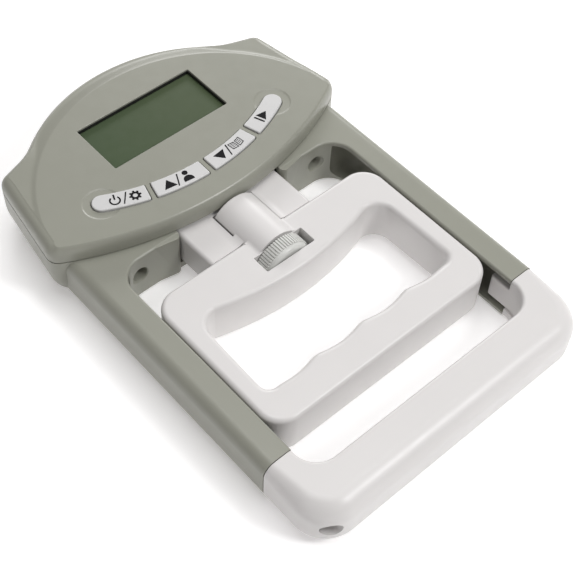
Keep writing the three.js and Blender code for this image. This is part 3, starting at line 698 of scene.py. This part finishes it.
def casing_bosses():
    """Screw bosses, the pillars beside the neck and the battery bay's outside."""
    bosses = [rod("z", BOSS_RADIUS, 1, FRAME_TOP, (x, y, 0)) for x, y in CASE_SCREWS]
    bosses += [pillar(side) for side in (-1, 1)]
    bosses += [rod("z", CELL_BOSS_RADIUS, 1, 6.5, (x, y, 0)) for x, y in CELL_BOSSES]
    for side in (-1, 1):
        centre = (side * WALL_SCREW_X, 0, WALL_SCREW_Z)
        bosses.append(rod("y", BOSS_RADIUS, WALL_Y + 1, WALL_BOSS_END, centre))
    x = BAY_X + BAY_WALL
    bosses.append(box(-x, x, BAY_Y[0] - BAY_WALL, BAY_Y[1] + BAY_WALL, 1, BAY_TOP))
    return bosses


def casing_cuts():
    """The battery bay, leg channels, neck opening, screw holes and the door's opening."""
    cuts = [box(-BAY_X, BAY_X, *BAY_Y, FLOOR_TOP - 0.5, ABOVE)]
    cuts += [leg_channel(side) for side in (-1, 1)]
    cuts.append(box(-NECK_OPENING, NECK_OPENING, WALL_Y - 5, WALL_Y + 8, 3.4, ABOVE))
    cuts.append(box(-LEG_OUTER - 5, LEG_OUTER + 5, LEG_START - 5, 0, BELOW, ABOVE))
    for side in (-1, 1):
        centre = (side * WALL_SCREW_X, 0, WALL_SCREW_Z)
        cuts.append(rod("y", WALL_HEAD_HOLE, WALL_Y - 1, WALL_BOSS_END - 2.8, centre))
        cuts.append(rod("y", WALL_SHANK_HOLE, WALL_Y + 3, WALL_BOSS_END + 1, centre))
        cuts.append(turned([
            (WALL_Y - 1, 0), (WALL_Y - 1, 3.9), (WALL_Y, 3.5),
            (WALL_Y + 0.3, 3.1), (WALL_Y + 2, WALL_HEAD_HOLE), (WALL_Y + 2, 0),
        ], "y", centre))
    lip, depth = CASE_HEAD_HOLE + 0.4, 3.2
    head_hole = [(-1, 0), (-1, lip), (0, lip), (0.4, CASE_HEAD_HOLE), (depth, CASE_HEAD_HOLE), (depth, 0)]
    for x, y in CASE_SCREWS:
        cuts.append(rod("z", SHANK_HOLE, BELOW, FRAME_TOP + 1, (x, y, 0), 24))
        cuts.append(turned(head_hole, "z", (x, y, 0)))
    for x, y in CELL_BOSSES:
        cuts.append(rod("z", SHANK_HOLE, 1.4, 8, (x, y, 0), 24))
    cuts.append(plate(rectangle(-DOOR_X, DOOR_X, *DOOR_Y, 1.2), BELOW, 6, steps=1))
    return cuts


def casing():
    slopes = np.radians([90, 78, 66, 54, 42, 30, 20, 10, 0])
    hull = head_hull(0, [*(HULL_RISE * (1 - math.sin(a)) for a in slopes), FRAME_TOP])
    return carved("casing", legs_and_web(), [
        ("UNION", [hull]),
        ("DIFFERENCE", casing_hollows()),
        ("UNION", casing_bosses()),
        ("DIFFERENCE", casing_cuts()),
    ])


show(casing(), GREY, "root", ["rear_casing"])


# ----- front cover


def on_key_arc(radius, angle):
    """A point by its radius from the middle of the keys' arc and its angle in degrees."""
    a = math.radians(angle)
    return (radius * math.sin(a), KEY_ARC_Y - radius * math.cos(a))


def key_outline(start, end, grow, steps=12):
    """A key's outline along the arc, grown by a distance, with a round end on the outer keys."""
    inner = KEY_INNER - grow
    outer = KEY_OUTER + grow
    middle = (inner + outer) / 2
    half = (outer - inner) / 2
    edge = math.degrees(grow / middle)
    round_start = start == KEY_ANGLES[0][0]
    round_end = end == KEY_ANGLES[-1][1]
    first = start if round_start else start - edge
    last = end if round_end else end + edge
    corner = KEY_CORNER + grow
    corners = {0: 0 if round_start else corner, steps: 0 if round_end else corner}

    def edge_points(radius, order):
        angles = [first + (last - first) * k / steps for k in order]
        return [(*on_key_arc(radius, a), corners.get(k, 0)) for k, a in zip(order, angles)]

    points = edge_points(outer, range(steps + 1))
    if round_end:
        points += arc(on_key_arc(middle, last), half, last - 90, last + 90, 16)[1:-1]
    points += edge_points(inner, range(steps, -1, -1))
    if round_start:
        points += arc(on_key_arc(middle, first), half, first + 90, first + 270, 16)[1:-1]
    return outline(points, 15)


def cover_height(points):
    """The cover's top: flat inside the ellipse, a wide bevel round the dome, a fine step elsewhere."""
    x, y = points[:, 0], points[:, 1] - DOME_Y
    beyond = (np.hypot(x / FACE_REACH[0], y / FACE_REACH[1]) - 1) * sum(FACE_REACH) / 2
    turn = np.degrees(np.abs(np.arctan2(x, y)))
    dome = 1 - smoothstep(turn, 33, 47)
    width = STEP_WIDTH + (BEVEL_WIDTH - STEP_WIDTH) * dome
    drop = STEP_DROP + (RIM_DROP - STEP_DROP) * dome
    drop = drop * (1 - smoothstep(turn, 82, 96))
    t = np.clip(beyond / width, 0, 1)
    slope = t - 0.12 * np.sin(2 * math.pi * t) / (2 * math.pi)
    return FACE_TOP - drop * slope


def dish(centre):
    """A cutter for the shallow round dish about an outer key's round end."""
    depth, foot, lip = 0.32, 6.2, 7.1
    return turned([
        (FACE_TOP - depth, 0), (FACE_TOP - depth, foot), (FACE_TOP - depth * 0.75, foot + 0.3),
        (FACE_TOP - depth * 0.25, lip - 0.3), (FACE_TOP, lip), (FACE_TOP + 2, lip + 1), (FACE_TOP + 2, 0),
    ], "z", (*centre, 0), 96)


def reach_of_ellipse(centre, ray):
    """How far from a centre on the middle line each ray meets the edge of the flat face."""
    a, b = FACE_REACH
    dy = centre[1] - DOME_Y
    qa = (ray[:, 0] / a) ** 2 + (ray[:, 1] / b) ** 2
    qb = 2 * dy * ray[:, 1] / b**2
    qc = (dy / b) ** 2 - 1
    return (-qb + np.sqrt(qb**2 - 4 * qa * qc)) / (2 * qa)


def cover_skin():
    """Rings from the base up the rim, over its rounding and in to the flat face."""
    count = 760
    contour = resampled(outline([*brow(0), *head_top(0)], 3), count)
    y = contour[:, 1]
    side = smoothstep(y, 100, 106) * (1 - 0.5 * smoothstep(y, 135, 150))
    rounding = 2.0 + 1.6 * side
    fall = rounding * (2.1 - 1.1 * side)  # the brow is rounded deeper than it is wide
    sweep = np.radians(60 + 30 * side)
    lip = 0.4 * (1 - 0.9 * side)  # narrow facet that catches the light above the brow's rounding
    lip_drop = 0.7 * lip
    rings = []
    fine = 0.25
    for k in range(4):
        angle = math.pi / 2 * (1 - k / 3)
        flat = inset(contour, fine * (1 - math.cos(angle)))
        rings.append(np.column_stack([flat, np.full(count, COVER_BASE + fine * (1 - math.sin(angle)))]))
    rim = inset(contour, rounding * (1 - np.cos(sweep)) + lip)
    edge = cover_height(rim)
    for k in range(9):
        angle = sweep * k / 8
        flat = inset(contour, rounding * (1 - np.cos(angle)))
        rings.append(np.column_stack([flat, edge - lip_drop - fall * (np.sin(sweep) - np.sin(angle))]))
    rings.append(np.column_stack([rim, edge]))
    centre = np.array([0.0, 118.0])  # inside the flat face
    ray = rim - centre
    reach = np.linalg.norm(ray, axis=1)
    ray /= reach[:, None]
    inner = np.minimum(reach_of_ellipse(centre, ray), reach - 1.0)
    for t in (0.08, 0.2, 0.35, 0.5, 0.62, 0.74, 0.84, 0.92, 1.0):
        flat = centre + ray * (reach + (inner - reach) * t)[:, None]
        rings.append(np.column_stack([flat, cover_height(flat)]))
    for step in (0.4, 1.0):
        flat = centre + ray * (inner - step)[:, None]
        rings.append(np.column_stack([flat, np.full(count, FACE_TOP)]))
    return capped(rings)


def cover():
    inside = plate(outline([*brow(WALL), *head_top(WALL)]), COVER_BASE - 1, FACE_TOP - WALL, top=1, steps=3)
    posts = [rod("z", 3.6, COVER_BASE, FACE_TOP - 2, (x, y, 0)) for x, y in CASE_SCREWS]
    cuts = [rod("z", 1.3, 15, FACE_TOP - 2.6, (x, y, 0), 24) for x, y in CASE_SCREWS]
    window = rectangle(-SCREEN_X, SCREEN_X, *SCREEN_Y, 0.5, 15)
    cuts.append(flared(window, FRAME_TOP, FACE_TOP, 0.25))
    seat = 1.4  # how far the display's seat reaches beyond the window
    seat_x = SCREEN_X + seat
    cuts.append(box(-seat_x, seat_x, SCREEN_Y[0] - seat, SCREEN_Y[1] + seat, FRAME_TOP, FACE_TOP - 0.9))
    for angle in (KEY_ANGLES[0][0], KEY_ANGLES[-1][1]):
        cuts.append(dish(on_key_arc(KEY_MIDDLE, angle)))
    for start, end in KEY_ANGLES:
        cuts.append(flared(key_outline(start, end, GAP), FRAME_TOP, FACE_TOP, 0.25, 4))
    return carved("cover", cover_skin(), [
        ("DIFFERENCE", [inside]),
        ("UNION", posts),
        ("DIFFERENCE", cuts),
    ])


show(cover(), GREY, "root", ["front_cover"])


# ----- outer handle


def corner_groove(side):
    """A shallow groove that carries the tongue's face on round the inner corner."""
    centre = (LEG_INNER - BAR_INNER_CORNER, BAR_INNER_Y + BAR_INNER_CORNER)
    open_radius = BAR_INNER_CORNER - 1
    sunk_radius = TONGUE_X[0] - centre[0]
    contour = [
        (centre[0] + open_radius, 1), *arc(centre, open_radius, 0, -80, 20),
        *arc(centre, sunk_radius, -72, 0, 20), (centre[0] + sunk_radius, 1),
    ]
    return plate([(x * side, y) for x, y in contour], *TONGUE_Z, steps=1)


def outer_handle():
    over = 3
    right = [
        (LEG_OUTER, BAR_OUTER_Y, BAR_CORNER),
        (LEG_OUTER, over),
        (LEG_INNER, over),
        (LEG_INNER, BAR_INNER_Y, BAR_INNER_CORNER),
    ]
    contour = outline([*right, *mirrored(right)])

    inside_round = 1.4

    def outside(x, y):
        return (np.abs(x) > LEG_INNER + 0.5) | (y < BAR_INNER_Y - 0.5)

    def rounding(x, y):
        sides = LEG_ROUND + (BAR_ROUND - LEG_ROUND) * smoothstep(-y, 2, 22)
        return np.where(outside(x, y), sides, inside_round)

    def under_rounding(x, y):
        sides = LEG_UNDER - 0.6 * smoothstep(-y, 2, 22)
        return np.where(outside(x, y), sides, inside_round)

    bar = plate(contour, 0, FRAME_TOP, top=rounding, bottom=under_rounding, steps=10)
    tongues = [
        plate(outline([
            (TONGUE_X[0] * side, -3),
            (TONGUE_X[1] * side, -3),
            (TONGUE_X[1] * side, TONGUE_END, 2),
            (TONGUE_X[0] * side, TONGUE_END, 1.2),
        ]), *TONGUE_Z, top=0.7, bottom=0.3, steps=3)
        for side in (-1, 1)
    ]
    cuts = []
    for side in (-1, 1):
        cuts.append(corner_groove(side))
        centre = (side * HANDLE_SCREW_X, 0, FRAME_TOP / 2)
        cuts.append(rod("y", 3.1, BAR_OUTER_Y - 10, HANDLE_HEAD_Y + 4.5, centre))
        cuts.append(rod("y", SHANK_HOLE, HANDLE_HEAD_Y + 2, TONGUE_END + 3, centre))
    trim = box(-LEG_OUTER - 5, LEG_OUTER + 5, -GAP, over + 1, BELOW, ABOVE)
    return carved("outer_handle_moulding", bar, [
        ("DIFFERENCE", [trim]),
        ("UNION", tongues),
        ("DIFFERENCE", cuts),
    ])


show(outer_handle(), WHITE, "root", ["outer_handle"])


# ----- inner handle


def finger_opening():
    """Upper edge sagging in the middle, lower edge of four finger grooves."""
    upper = []
    upper_reach = 33.5
    for t in np.linspace(1, -1, 37):
        upper.append((upper_reach * t, HOLE_TOP_Y + (HOLE_SIDE_Y - HOLE_TOP_Y) * t * t))
    lower = []
    lower_reach = 36.5
    softness = 0.28  # rounds the crests between the grooves
    for x in np.linspace(-lower_reach, lower_reach, 147):
        wave = math.hypot(math.sin(math.pi * x / GROOVE_PITCH), softness)
        fade = float(smoothstep(abs(x), lower_reach - 6, lower_reach)) / 2
        crest = math.hypot(1, softness) - wave
        lower.append((x, GROOVE_Y + GROOVE_DEPTH * crest * (1 - fade)))
    return outline([
        (HOLE_X - 0.4, HOLE_SIDE_Y + 0.2, 6.5),
        *upper,
        (-HOLE_X + 0.4, HOLE_SIDE_Y + 0.2, 6.5),
        (-HOLE_X, GROOVE_Y + 0.3, 3.5),
        *lower,
        (HOLE_X, GROOVE_Y + 0.3, 3.5),
    ])


def inner_handle():
    contour = rectangle(-GRIP_X, GRIP_X, *GRIP_Y, GRIP_CORNER)

    def outer_round(x, y):
        return 1.8 - 1.3 * smoothstep(y, 68, 69.5) * (np.abs(x) < BLOCK_X + 6)

    def hole_round(x, y):
        return 1.7 + 0.9 * (1 - smoothstep(y, 24, 34))

    ring = plate(contour, *GRIP_Z, top=outer_round, bottom=1.8, holes=[finger_opening()],
                 hole_top=hole_round, hole_bottom=hole_round, steps=7)
    barrel_start = SLOT_Y[1] - 4
    end_round = 0.7
    barrel = turned([
        (barrel_start, 0), (barrel_start, BARREL_RADIUS),
        *arc((BARREL_END - end_round, BARREL_RADIUS - end_round), end_round, 90, 0, 4), (BARREL_END, 0),
    ], "y", (0, 0, AXIS_Z), 128)

    fillets = [
        barrel_fillet(side, BARREL_RADIUS, 2.5, FRAME_TOP, SLOT_Y[1] - 1, GRIP_Y[1] - 0.6)
        for side in (-1, 1)
    ]

    slot = rectangle(-SLOT_X, SLOT_X, *SLOT_Y, 0.4, 15)
    cuts = [flared(slot, BELOW, FRAME_TOP, 0.3, 4)]
    flank_end = BARREL_END + 1
    cuts.append(box(-BARREL_RADIUS - 1, FLANK_X, SLIT_START, flank_end, FLANK_Z[1], ABOVE))
    cuts.append(box(-BARREL_RADIUS - 1, FLANK_DEEP_X, SLIT_START, flank_end, FLANK_Z[0], FLANK_Z[1] + 0.01))
    bore_start = span("adjusting_screw")[1][0] - 0.6
    cuts.append(rod("y", SCREW_RADIUS + GAP, bore_start, BARREL_END + 5, (0, 0, AXIS_Z)))
    return carved("inner_handle_moulding", ring, [("UNION", [barrel, *fillets]), ("DIFFERENCE", cuts)])


show(inner_handle(), WHITE, "grip", ["inner_handle"])


# ----- neck block and wheel


def neck_block():
    section = outline([
        (-BLOCK_X, BLOCK_Z[0], 1), (BLOCK_X, BLOCK_Z[0], 1),
        (BLOCK_X, BLOCK_Z[1], 1.6), (-BLOCK_X, BLOCK_Z[1], 1.6),
    ], 9)
    block = bar_along_y(section, *BLOCK_Y, top=0.25, bottom=0.25, steps=3)
    centre = (0, 0, AXIS_Z)
    bore = BARREL_RADIUS + 0.12
    collar = BARREL_END + 2 * GAP
    fillets = [barrel_fillet(side, BARREL_RADIUS, 6.5, BLOCK_Z[1], BLOCK_Y[0], collar) for side in (-1, 1)]

    wall = FLANK_X - SLIT_WIDTH
    foot = FLANK_Z[0] + GAP
    foot_angle = 180 + math.degrees(math.asin((AXIS_Z - foot) / bore))
    bore_section = [
        *arc((0, AXIS_Z), bore, foot_angle, 450, 120), (0, ABOVE), (wall, ABOVE), (wall, foot),
    ]
    cuts = [
        rod("y", bore, BLOCK_Y[0] - 5, SLIT_START, centre, 128),
        bar_along_y(bore_section, SLIT_START - 0.1, collar, steps=1),
        rod("y", SLEEVE_RADIUS + GAP, BARREL_END - 5, BLOCK_Y[1] + 5, centre),
    ]
    return carved("neck_block_moulding", block, [("UNION", fillets), ("DIFFERENCE", cuts)])


def wheel():
    low, high = span("adjusting_wheel")[1]
    radius = span("adjusting_wheel")[0][1]
    ribs = 60
    groove = 0.5  # depth of the narrow grooves between the ribs
    contour = []
    for k in range(ribs):
        for share, depth in ((0, 0), (0.5, 0), (0.65, groove), (0.85, groove)):
            a = 2 * math.pi * (k + share) / ribs
            contour.append(((radius - depth) * math.cos(a), AXIS_Z + (radius - depth) * math.sin(a)))
    drum = bar_along_y(contour, low + 1.7, high, top=0.25, bottom=0.25, steps=2)
    circle = arc((0, AXIS_Z), radius - groove, 0, 357, 119)
    disc = bar_along_y(circle, low, high - 0.3, top=1.5, bottom=0.3, steps=6)
    bore = rod("y", SCREW_RADIUS + GAP, low - 5, high + 5, (0, 0, AXIS_Z))
    return carved("knurled_wheel", disc, [("UNION", [drum]), ("DIFFERENCE", [bore])])


show(neck_block(), WHITE, "neck", ["neck_block"])
show(wheel(), WHEEL_GREY, "wheel", ["adjusting_wheel"])


# ----- keys with their printed symbols


def key(name, start, end):
    cap = plate(key_outline(start, end, 0), KEY_BASE, KEY_TOP - INK_HEIGHT, top=0.45, steps=5)
    collar = plate(key_outline(start, end, 0.8), KEY_BASE, KEY_BASE + 0.9, steps=1)
    return carved(name + "_cap", cap, [("UNION", [collar])])


def ring_segment(centre, inner, outer, start, end, steps=24):
    return [*arc(centre, outer, start, end, steps), *reversed(arc(centre, inner, start, end, steps))]


def power_symbol(x):
    return [
        (ring_segment((x, -0.1), 0.85, 1.2, 130, 410), []),
        (rectangle(x - 0.18, x + 0.18, 0.1, 1.5), []),
    ]


def slash(x):
    return [([(x - 0.65, -1.5), (x - 0.35, -1.5), (x + 0.65, 1.5), (x + 0.35, 1.5)], [])]


def gear_symbol(x):
    points = []
    teeth = 8
    for k in range(teeth * 8):
        a = 2 * math.pi * k / (teeth * 8)
        r = 1.3 if k % 8 < 4 else 0.98
        points.append((x + r * math.cos(a), r * math.sin(a)))
    return [(points, [arc((x, 0), 0.5, 0, 345, 23)])]


def triangle(x, sense, size=1.45):
    base = -sense * size * 0.72
    return [([(x - size, base), (x + size, base), (x, sense * size * 0.85)], [])]


def person_symbol(x):
    shoulders = [(x - 1.15, -1.3), (x + 1.15, -1.3), *arc((x, -1.0), 1.15, 0, 180, 16)]
    return [(arc((x, 0.95), 0.62, 0, 345, 23), []), (shoulders, [])]


def book_symbol(x):
    """An open book: two outlined pages with lines on them."""

    def strip(near, near_y, far, far_y):
        return [(near, near_y[0]), (far, far_y[0]), (far, far_y[1]), (near, near_y[1])]

    shapes = []
    for side in (-1, 1):
        page = strip(x + side * 0.12, (-1.0, 0.85), x + side * 1.6, (-0.7, 1.15))
        cut = strip(x + side * 0.3, (-0.78, 0.66), x + side * 1.42, (-0.5, 0.93))
        shapes.append((page, [cut]))
        for k in range(3):
            y = -0.42 + k * 0.4
            line = strip(x + side * 0.45, (y, y + 0.14), x + side * 1.28, (y + 0.14, y + 0.28))
            shapes.append((line, []))
    return shapes


def play_symbol(x):
    return [
        ([(x - 0.9, -1.25), (x + 1.3, 0), (x - 0.9, 1.25)], []),
        (rectangle(x - 1.75, x - 1.35, -1.25, 1.25), []),
    ]


SYMBOLS = {
    "power_key": [*power_symbol(-2.1), *slash(0), *gear_symbol(2.1)],
    "up_key": [*triangle(-2.6, 1), *slash(-0.5), *person_symbol(1.6)],
    "down_key": [*triangle(-2.6, -1), *slash(-0.5), *book_symbol(1.9)],
    "start_key": play_symbol(0),
}


def printed(name, start, end):
    """A key's symbols in ink, laid along its own stretch of the arc."""
    middle = math.radians((start + end) / 2)
    centre = np.array(on_key_arc(KEY_MIDDLE, (start + end) / 2))
    along = np.array([math.cos(middle), math.sin(middle)])
    up = np.array([-math.sin(middle), math.cos(middle)])

    def laid(points):
        return [centre + (x * along + y * up) * SYMBOL_SCALE for x, y in points]

    points, faces = [], []
    for contour, holes in SYMBOLS[name]:
        block, sides = plate(laid(contour), KEY_TOP - 0.1, KEY_TOP, holes=[laid(h) for h in holes], steps=1)
        offset = sum(len(p) for p in points)
        points.append(block)
        faces += [tuple(offset + i for i in face) for face in sides]
    return solid(name + "_print", (np.vstack(points), faces))


for key_name, (key_start, key_end) in zip(SYMBOLS, KEY_ANGLES):
    button = key_name.replace("_key", "_button")
    show(key(key_name, key_start, key_end), KEY_WHITE, button, [key_name])
    show(printed(key_name, key_start, key_end), INK, button)


# ----- display bezel


def bezel():
    """Black lining of the window: its walls stand from the display up to just under the face."""
    slack = 0.03
    reach_x = SCREEN_X - slack
    outer = rectangle(-reach_x, reach_x, SCREEN_Y[0] + slack, SCREEN_Y[1] - slack, 0.5, 15)
    inner = inset(outer, 0.22)
    return solid("window_lining", plate(outer, 24.55, FACE_TOP - 0.7, holes=[inner], steps=1))


show(bezel(), BLACK, "root", ["lcd_bezel"])


# ----- battery door and screws


def battery_door():
    low_x, high_x = span("battery_door")[0]
    low_y, high_y = span("battery_door")[1]
    panel = plate(rectangle(low_x, high_x, low_y, high_y, 1.5, 9), 0, 1.6, bottom=0.4, top=0.1, steps=4)
    ribs = [box(x - 0.8, x + 0.8, low_y + 2.7, high_y - 2.7, 1, 2.6) for x in (-15, 15)]
    grooves = []
    for k in range(5):
        y = 143.2 + 1.1 * k
        x = 7 - 0.35 * abs(k - 2) ** 2
        grooves.append(plate(rectangle(-x, x, y, y + 0.5, 0.24, 30), -1, 0.5, steps=1))
    return carved("battery_door_panel", panel, [("UNION", ribs), ("DIFFERENCE", grooves)])


show(battery_door(), GREY, "door", ["battery_door"])


def cross_recess(axis, centre, face, head):
    """Cutters for the two arms of the cross in a screw's head, narrowing as they go in."""
    deep, width = 1.1, 0.42
    reach = head * 0.62
    narrow, short = width * 0.8, reach * 0.55
    arms = []
    for wide, inner in (((reach, width), (short, narrow)), ((width, reach), (narrow, short))):
        rings = []
        for along, (a, b) in ((face - 0.3, wide), (face, wide), (face + deep, inner)):
            rings.append(np.array([(-a, -b, along), (a, -b, along), (a, b, along), (-a, b, along)]))
        points, faces = skinned(rings)
        faces += [(3, 2, 1, 0), (8, 9, 10, 11)]
        arms.append((placed(points, axis, centre), faces))
    return arms


def cross_screw(node, axis, centre, head, height, shank):
    """A steel screw with a slightly domed head. shank is its profile below the head."""
    face = span(node)["xyz".index(axis)][0]
    profile = [
        (face, 0), (face, head * 0.45), (face + 0.12, head * 0.75),
        (face + 0.4, head * 0.95), (face + 0.7, head), (face + height, head), *shank,
    ]
    body = turned(profile, axis, centre, 40)
    screw = carved(node + "_cross", body, [("DIFFERENCE", cross_recess(axis, centre, face, head))])
    show(screw, STEEL, "root", [node])


def plain_shank(start, tip, radius):
    """A straight shank's profile from under the head to its chamfered tip."""
    chamfer = 0.6
    return [(start, radius), (tip - chamfer, radius), (tip, radius - chamfer), (tip, 0)]


for number, (screw_x, screw_y) in enumerate(CASE_SCREWS, 1):
    node = f"case_screw_{number}"
    bottom, tip = span(node)[2]
    stepped = [(bottom + 2.0, 1.6), (FRAME_TOP, 1.6), (COVER_BASE, 1.0), (tip, 1.0), (tip, 0)]
    cross_screw(node, "z", (screw_x, screw_y, 0), 2.7, 1.6, stepped)

for side_name, sense in (("left", -1), ("right", 1)):
    node = f"handle_screw_{side_name}"
    bottom, tip = span(node)[1]
    place = (sense * HANDLE_SCREW_X, 0, FRAME_TOP / 2)
    cross_screw(node, "y", place, 2.7, 1.9, plain_shank(bottom + 2.2, tip, 1.5))

    node = f"wall_screw_{side_name}"
    bottom, tip = span(node)[1]
    place = (sense * WALL_SCREW_X, 0, WALL_SCREW_Z)
    cross_screw(node, "y", place, 2.2, 1.6, plain_shank(bottom + 1.9, tip, 1.4))


# ----- CAD nodes that stay, inside the head

CARRIED_OVER = {
    DISPLAY: ["lcd_glass"],
    BOARD: ["circuit_board"],
    SILICONE: ["lcd_connector", "key_pad"],
    ALUMINIUM: ["load_cell"],
    FOIL: ["strain_gauge_front", "strain_gauge_back"],
    BRASS: ["neck_nut"],
    SLEEVE: ["battery_1", "battery_2"],
    RED_WIRE: ["battery_wire_red"],
    BLACK_WIRE: ["battery_wire_black", "gauge_wire"],
    STEEL: [
        "pull_strap", "adjusting_screw", "load_cell_screw_1", "load_cell_screw_2",
        "board_screw_1", "board_screw_2", "battery_spring_1", "battery_spring_2",
        "battery_contact_1", "battery_contact_2",
    ],
}
for material, nodes in CARRIED_OVER.items():
    for node in nodes:
        for material_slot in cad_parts[node].material_slots:
            material_slot.material = material


# ----- floor, light and camera


def studio_floor():
    """A pale sheet under the object, with a faint unevenness in its tone."""
    size = 3.0
    bpy.ops.mesh.primitive_plane_add(size=size, location=(0, 0, -0.0003))
    floor = bpy.context.object
    floor.name = "floor"
    material, tree, bsdf = shader("pale_paper")
    tint = ramp(tree, noise(tree, 3, 2), (0.92, 0.92, 0.92), (0.94, 0.94, 0.94))
    tree.links.new(tint, bsdf.inputs["Base Color"])
    bsdf.inputs["Roughness"].default_value = 0.9
    bsdf.inputs["Specular IOR Level"].default_value = 0.1
    bsdf.inputs["Emission Color"].default_value = (1.0, 0.98, 0.98, 1)
    bsdf.inputs["Emission Strength"].default_value = 0.28
    floor.data.materials.append(material)


def area_light(name, place, target, size, power):
    light = bpy.data.lights.new(name, "AREA")
    light.shape = "RECTANGLE"
    light.size, light.size_y = size
    light.energy = power
    obj = bpy.data.objects.new(name, light)
    obj.location = place
    obj.rotation_euler = (Vector(target) - Vector(place)).to_track_quat("-Z", "Y").to_euler()
    bpy.context.scene.collection.objects.link(obj)


def studio_world():
    world = bpy.data.worlds.new("studio")
    world.use_nodes = True
    background = world.node_tree.nodes["Background"]
    background.inputs["Color"].default_value = (1.0, 0.965, 0.97, 1)
    background.inputs["Strength"].default_value = 0.26
    bpy.context.scene.world = world


studio_floor()
studio_world()
area_light("overhead", (0.1, 0.05, 1.2), (0, 0, 0), (0.8, 0.8), 6.2)
area_light("back_right", (0.75, 0.85, 0.5), (0, 0.02, 0), (0.7, 0.3), 5.5)
area_light("front_right", (0.42, -0.70, 0.86), (0, 0, 0), (0.30, 0.30), 6.0)

camera_data = bpy.data.cameras.new("camera")
camera_data.lens = 75.93
camera_data.sensor_width = 36.0
camera = bpy.data.objects.new("camera", camera_data)
camera.location = (-0.17631, -0.19567, 0.33996)
camera.rotation_euler = [math.radians(angle) for angle in (36.795, -1.841, -41.441)]
bpy.context.scene.collection.objects.link(camera)
bpy.context.scene.camera = camera
bpy.context.scene.view_settings.view_transform = "Standard"

bpy.context.view_layer.update()
